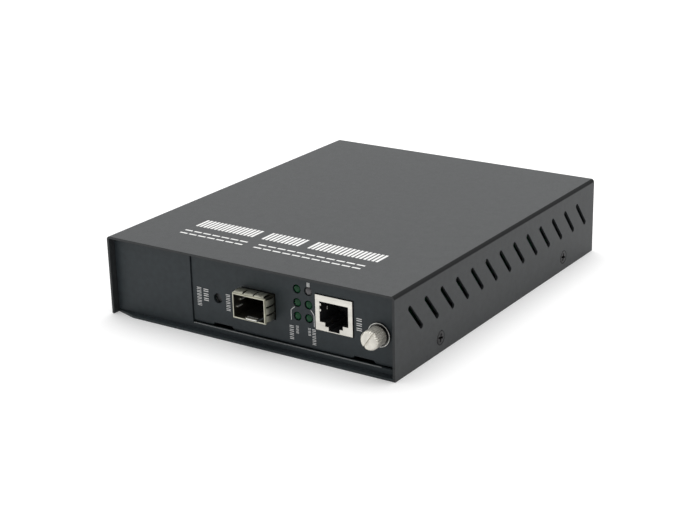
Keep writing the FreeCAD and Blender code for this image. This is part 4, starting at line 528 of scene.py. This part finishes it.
def front_places():
    """The places on the panel, as (x, z), that its print stands beside."""
    panel = box_mm("module_panel")[0]
    reset = middle_mm("reset_button")
    cage = box_mm("sfp_cage")[0]
    jack_low, jack_high = box_mm("jack_shield")
    lamps_low, lamps_high = box_mm("green_leds")
    clear = middle_mm("power_led")
    clear_reach = clear.x - box_mm("power_led")[0].x
    lamps_level = (lamps_low.z + lamps_high.z) / 2
    return {
        "panel_edge": (panel.x, reset.z), "reset": (reset.x, reset.z), "cage": (cage.x, cage.z),
        "left_lamps": (lamps_low.x + clear_reach, lamps_level), "right_lamps": (clear.x, lamps_level),
        "clear_lamp": (clear.x, clear.z), "jack": (jack_high.x, jack_low.z),
    }


def make_front_print():
    """Small generic marks beside the openings, and the two bent lines that lead to the lamps."""
    face = box_mm("module_panel")[0].y
    depth = [face + step for step in FACE_PRINT]
    places = front_places()
    bm = bmesh.new()
    for place, (left, right), (low, high), count in STACKS:
        x, z = places[place]
        step = (high - low) / count
        for number in range(count):
            for part in BAR_STARTS:
                start = z + low + step * (number + part)
                add_block(bm, (x + left, depth[0], start), (x + right, depth[1], start + step * BAR_SHARE))
    x, z = places["clear_lamp"]
    for left in UPRIGHTS:
        add_block(bm, (x + left, depth[0], z + UPRIGHT_SPAN[0]),
                  (x + left + UPRIGHT_WIDTH, depth[1], z + UPRIGHT_SPAN[1]))
    for place, line in LEADERS:
        x, z = places[place]
        points = [(x + across, z + up) for across, up in line]
        for start, end in zip(points, points[1:]):
            add_stroke(bm, start, end, LEADER_WIDTH, depth)
    finish_piece("front_print", bm, "module", "white_plastic", WHITE_PRINT)


LIP_AHEAD = 0.5
LIP_BELOW = 0.15
LIP_SECTION = [(-0.02, -0.16), (-0.02, -0.05), (0.06, 0.03), (0.42, 0.03), (0.42, -0.02), (0.0, -0.16)]
LIP_SHORT = 6.35
LIP_TAPER = [(0.6, 1.0), (0.25, 0.8), (0.0, 0.3)]


def make_lip_edge():
    """The bare cut edge along the front lip: a slim bead that ends round at the right. Its lighter colour is
    partly bare metal and partly a painted highlight line.
    """
    panel = box_mm("module_panel")[0]
    front, top = panel.y - LIP_AHEAD, panel.z - LIP_BELOW
    end = box_mm("base_tray")[1].x - LIP_SHORT
    stops = [(panel.x, 1.0)] + [(end - inset, share) for inset, share in LIP_TAPER]
    bm = bmesh.new()
    join_rings(bm, [[(x, front + y * share, top + z * share) for y, z in LIP_SECTION] for x, share in stops])
    finish_piece("lip_edge", bm, "chassis", "grey_paint", BARE_EDGE_HIGHLIGHT)


LATCH_SHIFT = 0.9
LATCH_REACH = 2.45
LATCH_SECTION = [(0.02, 0.36), (0.02, 0.62), (0.35, 0.95), (1.3, 1.15), (1.3, 1.0)]
# Small catches inside the cage's mouth in the lighter steel: painted glints.
CATCH_GLINT_INSET = 0.36
CATCH_GLINT_WIDTH = 0.5
CATCH_GLINTS = [((2.0, 5.0), (3.4, 3.9)), ((4.0, 9.0), (5.6, 6.1))]


def make_latch_tip():
    """The turned-up end of the cage's latch tongue and small catches inside the mouth, in a lighter steel
    that paints their highlight and glints.
    """
    low, high = box_mm("sfp_cage")
    middle = (low.x + high.x) / 2 + LATCH_SHIFT
    bm = bmesh.new()
    join_rings(bm, [[(x, low.y + y, low.z + z) for y, z in LATCH_SECTION]
                    for x in (middle - LATCH_REACH, middle + LATCH_REACH)])
    left, right = low.x + CATCH_GLINT_INSET, high.x - CATCH_GLINT_INSET
    for across in ((left, left + CATCH_GLINT_WIDTH), (right - CATCH_GLINT_WIDTH, right)):
        for deep, up in CATCH_GLINTS:
            near = (across[0], low.y + deep[0], low.z + up[0])
            far = (across[1], low.y + deep[1], low.z + up[1])
            add_block(bm, near, far)
    finish_piece("latch_tip", bm, "module", "cage_steel", HIGHLIGHT_STEEL)


RIM_SHEET = 0.35
RIM_SPREAD = 0.01
RIM_DEPTH = (-0.02, 0.28)
RIM_FEET = (4.9, 3.1)


def make_cage_rim():
    """The bare sheet edge round the cage's mouth, open below where the latch tongue stands."""
    low, high = box_mm("sfp_cage")
    left, right = low.x + RIM_SHEET, high.x - RIM_SHEET
    sides = [((low.x, low.z), (left, high.z)), ((right, low.z), (high.x, high.z)),
             ((left, high.z - RIM_SHEET), (right, high.z)),
             ((left, low.z), (left + RIM_FEET[0], low.z + RIM_SHEET)),
             ((right - RIM_FEET[1], low.z), (right, low.z + RIM_SHEET))]
    bm = bmesh.new()
    for (x0, z0), (x1, z1) in sides:
        add_block(bm, (x0 - RIM_SPREAD, low.y + RIM_DEPTH[0], z0 - RIM_SPREAD),
                  (x1 + RIM_SPREAD, low.y + RIM_DEPTH[1], z1 + RIM_SPREAD))
    piece = finish_piece("cage_rim", bm, "module", "cage_steel")
    soften(piece, RIM_EDGE)


SCREW_PROFILE = [(0, 0.0), (1.6, 0.0), (2.3, 0.04), (2.55, 0.16), (1.5, 0.95), (1.5, 4.45), (0, 4.45)]
SCREW_RADIUS = 2.8
# A thin black disc just inside the cover behind each head: painted shadow in the countersink's gap.
SHADOW_RING_PROFILE = [(0, 0.3), (2.95, 0.3), (2.95, 0.36), (0, 0.36)]
CROSS_TURN = 14
CROSS_REACH = 1.65
CROSS_HALF = 0.4
CROSS_DEPTH = (-0.5, 0.8)
SCREW_STEPS = 48


def add_cross(bm, place):
    """A cross-shaped prism about its own Y axis, for a screw's recess."""
    outline = []
    for quarter in range(4):
        spin = Matrix.Rotation(math.radians(90 * quarter), 2)
        for corner in ((CROSS_HALF, CROSS_HALF), (CROSS_HALF, CROSS_REACH), (-CROSS_HALF, CROSS_REACH)):
            outline.append(spin @ Vector(corner))
    join_rings(bm, [[place @ Vector((point.x, y, point.y)) for point in outline] for y in CROSS_DEPTH])


def make_cover_screws():
    """Countersunk screws with a cross recess, each on a thin black disc wider than its head: the painted
    shadow of the gap round the head.
    """
    low, high = box_mm("cover_screws")
    level = (low.z + high.z) / 2
    heads, rings, cutter = bmesh.new(), bmesh.new(), bmesh.new()
    for side, face in ((-1, low.x), (1, high.x)):
        for y in (low.y + SCREW_RADIUS, high.y - SCREW_RADIUS):
            place = Matrix.Translation((face, y, level)) @ Matrix.Rotation(math.radians(90 * side), 4, "Z")
            add_lathe(heads, SCREW_PROFILE, place, SCREW_STEPS)
            add_lathe(rings, SHADOW_RING_PROFILE, place, SCREW_STEPS)
            add_cross(cutter, place @ Matrix.Rotation(math.radians(CROSS_TURN), 4, "Y"))
    screws = finish_piece("cross_screws", heads, "chassis", "black_steel", replaced=["cover_screws"])
    cut_out(screws, cutter)
    shade_round(screws, 35)
    finish_piece("screw_shadow_rings", rings, "chassis", "black_steel", SHADOW_GAP)


# Each block's spans to the right, to the rear and upwards, from the shield's lower left front corner. The
# last block is a thin plate at a contact spring's bend whose bright steel paints its glint.
JACK_TABS_AND_GLINT = [((1.7, 2.35), (0.1, 0.45), (7.3, 8.2)), ((1.7, 2.35), (0.1, 0.45), (9.5, 10.4)),
             ((3.3, 3.5), (2.6, 2.8), (7.5, 8.8))]


def make_jack_details():
    """Folded tabs on the shield's inner edge, and the foremost bend of a contact spring as a thin bright
    plate that paints its glint.
    """
    corner = box_mm("jack_shield")[0]
    bm = bmesh.new()
    for spans in JACK_TABS_AND_GLINT:
        add_block(bm, *[[start + span[end] for start, span in zip(corner, spans)] for end in (0, 1)])
    piece = finish_piece("jack_tabs", bm, "module", "shield_steel")
    soften(piece, TAB_EDGE)


LENS_RADIUS = 1.5
LENS_DOME = 1.1
LENS_FLANGE = 0.25
FLANGE_START = 0.6
FLANGE_LEVEL = 0.55
DOME_STEPS = 8
LENS_STEPS = 40


def add_lamp_dome(bm, x, z, front, back):
    """A round lens: a dome on a straight barrel that ends in a flange."""
    profile = [(0, front)]
    for number in range(1, DOME_STEPS + 1):
        turn = math.pi / 2 * number / DOME_STEPS
        profile.append((LENS_RADIUS * math.sin(turn), front + LENS_DOME * (1 - math.cos(turn))))
    flange = LENS_RADIUS + LENS_FLANGE
    profile += [(LENS_RADIUS, back - FLANGE_START), (flange, back - FLANGE_LEVEL), (flange, back), (0, back)]
    add_lathe(bm, profile, Matrix.Translation((x, 0, z)), LENS_STEPS)


def make_lamps():
    """Domed lenses in place of the plain lamps: five green and one clear."""
    green_low, green_high = box_mm("green_leds")
    clear_low, clear_high = box_mm("power_led")
    radius = (clear_high.x - clear_low.x) / 2
    left, right = green_low.x + radius, clear_low.x + radius
    bottom, top = green_low.z + radius, clear_low.z + radius
    middle = (bottom + top) / 2
    bm = bmesh.new()
    for x, z in ((left, bottom), (left, middle), (left, top), (right, bottom), (right, middle)):
        add_lamp_dome(bm, x, z, green_low.y, green_high.y)
    finish_piece("green_domes", bm, "module", "green_lens", replaced=["green_leds"], smooth=30)
    bm = bmesh.new()
    add_lamp_dome(bm, right, top, clear_low.y, clear_high.y)
    finish_piece("clear_dome", bm, "module", "clear_lens", replaced=["power_led"], smooth=30)


# ---------------------------------------------------------------- thumbscrew
KNURLS = 26
KNURL_DEPTH = 0.34
KNURL_STEPS = 8
KNURLED_FROM = 0.12
BARREL_DEPTH = 0.5
BARREL_TILT = 0.3
KNOB_GAP = 0.2
# The knob's outline: inwards from its rim, and rearwards from its face or forwards from its rear.
KNOB_FRONT = [(1.2, 0.06), (1.0, 0.0), (0.55, 0.0), (0.1, 0.45), (0.0, 0.6)]
KNOB_REAR = [(0.0, 0.4), (0.4, 0.0)]
SHANK = 1.5
NECK_DEPTH = 0.38
NECK_GAP = 0.04
NECK_CHAMFER = 0.02
THREAD_PITCH = 0.5
THREAD_DEPTH = 0.22
THREAD_START = 0.4
THREAD_STOP = 0.6
END_CHAMFER = 0.35
SLOT_WIDTH = 1.0
SLOT_DEPTH = 1.0
SLOT_TURN = 55.0
RING_INSET = 0.16
RING_RADII = (0.15, 0.13)
RING_AHEAD = 0.1
RING_STEPS = (64, 8)


def knob_profile(reach, face, rear):
    """The knob with a shallow dish in its face, a chamfer in front and a smaller one behind."""
    front = [(reach - inwards, face + back) for inwards, back in KNOB_FRONT]
    behind = [(reach - inwards, rear - ahead) for inwards, ahead in KNOB_REAR]
    return [(0, front[0][1])] + front + behind + [(SHANK, rear)]


def shank_profile(end):
    """The shank with a neck for the snap ring, and the thread behind it."""
    ring_low, ring_high = box_mm("screw_clip")
    front, back = ring_low.y - NECK_GAP, ring_high.y + NECK_GAP
    neck = SHANK - NECK_DEPTH
    profile = [(SHANK, front - NECK_CHAMFER), (neck, front), (neck, back), (SHANK, back + NECK_CHAMFER)]
    thread = ring_high.y + THREAD_START
    while thread < end - THREAD_STOP:
        profile += [(SHANK, thread), (SHANK - THREAD_DEPTH, thread + THREAD_PITCH / 2)]
        thread += THREAD_PITCH
    return profile + [(SHANK - END_CHAMFER, end), (0, end)]


def knurled(reach, radius, turn):
    """The radius at a turn: straight knurls run along the knob, between its chamfers."""
    if radius < reach - KNURLED_FROM:
        return radius
    wave = abs(((turn * KNURLS / (2 * math.pi)) % 1.0) - 0.5) * 2
    return radius - KNURL_DEPTH * max(0.0, 1 - wave * 2)


def make_thumbscrew():
    """A knurled knob with a driver slot, its shank, neck and threaded end."""
    low, high = box_mm("thumbscrew")
    reach = (high.x - low.x) / 2
    x, z = low.x + reach, (low.z + high.z) / 2
    rear = box_mm("screw_ferrule")[0].y - KNOB_GAP
    bm = bmesh.new()
    add_lathe(bm, knob_profile(reach, low.y, rear) + shank_profile(high.y), Matrix.Translation((x, 0, z)),
              KNURLS * KNURL_STEPS, lambda radius, y, turn: knurled(reach, radius, turn))
    screw = finish_piece("knurled_screw", bm, "thumbscrew", "nickel_knob", replaced=["thumbscrew"])
    cutter = bmesh.new()
    place = Matrix.Translation(Vector((x, low.y, z)) * MM)
    turn = Matrix.Rotation(-math.radians(SLOT_TURN), 4, "Y")
    size = Matrix.Diagonal((reach * 3 * MM, 2 * SLOT_DEPTH * MM, SLOT_WIDTH * MM, 1))
    bmesh.ops.create_cube(cutter, size=1.0, matrix=place @ turn @ size)
    cut_out(screw, cutter)
    shade_round(screw, 28)
    screw.data.materials.append(KNURL_STEEL)
    axis = Vector((x, z)) * MM
    for side in screw.data.polygons:
        across = (Vector((side.center.x, side.center.z)) - axis).length
        if across > (reach - BARREL_DEPTH) * MM and abs(side.normal.y) < BARREL_TILT:
            side.material_index = 1


def make_ferrule_ring():
    """The rolled rim of the ferrule that the screw stands in, in a lighter steel: a painted highlight along
    its edge.
    """
    low, high = box_mm("screw_ferrule")
    x, z = (low.x + high.x) / 2, (low.z + high.z) / 2
    reach = (high.x - low.x) / 2 - RING_INSET
    rings = []
    for i in range(RING_STEPS[0]):
        turn = 2 * math.pi * i / RING_STEPS[0]
        ring = []
        for k in range(RING_STEPS[1]):
            roll = 2 * math.pi * k / RING_STEPS[1]
            out = reach + RING_RADII[0] * math.cos(roll)
            y = low.y + RING_AHEAD + RING_RADII[1] * math.sin(roll)
            ring.append((x + out * math.cos(turn), y, z + out * math.sin(turn)))
        rings.append(ring)
    bm = bmesh.new()
    join_rings(bm, rings, closed=True)
    finish_piece("ferrule_ring", bm, "module", "nickel_knob", HIGHLIGHT_STEEL, smooth=60)


# ---------------------------------------------------------------- small parts on the boards
CHIP_HALF = (0.9, 0.5)
CHIP_HEIGHT = 0.5
CAP_HEIGHT = 0.55
CAP_LONG = 0.32
CAP_WIDE = 1.08
CAP_SHIFT = 0.82
CHIP_CLEAR = 1.8
CHIP_APART = 2.6
TRIES = 30
STANDS_ABOVE = 0.05
HANGS_BELOW = 2
SPANS_CASE = 100


def taken_areas(board, level):
    """The boxes of the nodes that stand on a board or hang close above it, save those that span the case."""
    taken = []
    for name in frame["nodes"]:
        low, high = box_mm(name)
        near = low.z < level + HANGS_BELOW and high.z > level + STANDS_ABOVE
        if name != board and near and high.x - low.x < SPANS_CASE:
            taken.append((low, high))
    return taken


def free_spots(board, wanted, margin, seed):
    """Seeded places on a board's top that stay clear of everything standing on it."""
    low, high = box_mm(board)
    taken = taken_areas(board, high.z)
    spots = []
    draw = random.Random(seed)
    for _ in range(wanted * TRIES):
        x = draw.uniform(low.x + margin, high.x - margin)
        y = draw.uniform(low.y + margin, high.y - margin)
        beside = all(x < a.x - CHIP_CLEAR or x > b.x + CHIP_CLEAR
                     or y < a.y - CHIP_CLEAR or y > b.y + CHIP_CLEAR for a, b in taken)
        if beside and all(abs(x - u) > CHIP_APART or abs(y - v) > CHIP_APART for u, v in spots):
            spots.append((x, y))
        if len(spots) == wanted:
            break
    return spots


def dress_board(name, board, body, wanted, margin, seed):
    """Chip resistors and capacitors soldered to a board, every other one turned."""
    level = box_mm(board)[1].z
    long_half, wide_half = CHIP_HALF
    bodies, ends = bmesh.new(), bmesh.new()
    for number, (x, y) in enumerate(free_spots(board, wanted, margin, seed)):
        turned = number % 2 == 0
        half = (wide_half, long_half) if turned else (long_half, wide_half)
        cap = (long_half * CAP_LONG, wide_half * CAP_WIDE)
        cap = (cap[1], cap[0]) if turned else cap
        add_block(bodies, (x - half[0], y - half[1], level), (x + half[0], y + half[1], level + CHIP_HEIGHT))
        for side in (-CAP_SHIFT * long_half, CAP_SHIFT * long_half):
            u, v = (x, y + side) if turned else (x + side, y)
            add_block(ends, (u - cap[0], v - cap[1], level), (u + cap[0], v + cap[1], level + CAP_HEIGHT))
    finish_piece(name + "_bodies", bodies, body, "film_case", CERAMIC)
    finish_piece(name + "_ends", ends, body, "tin_contact")


make_studio()
dress_frame()
make_cover()
make_top_print()
make_front_print()
make_lip_edge()
make_latch_tip()
make_cage_rim()
make_cover_screws()
make_jack_details()
make_lamps()
make_thumbscrew()
make_ferrule_ring()
dress_board("module_chip_parts", "module_board", "module", wanted=70, margin=6.0, seed=3)
dress_board("power_chip_parts", "power_board", "chassis", wanted=40, margin=3.0, seed=5)
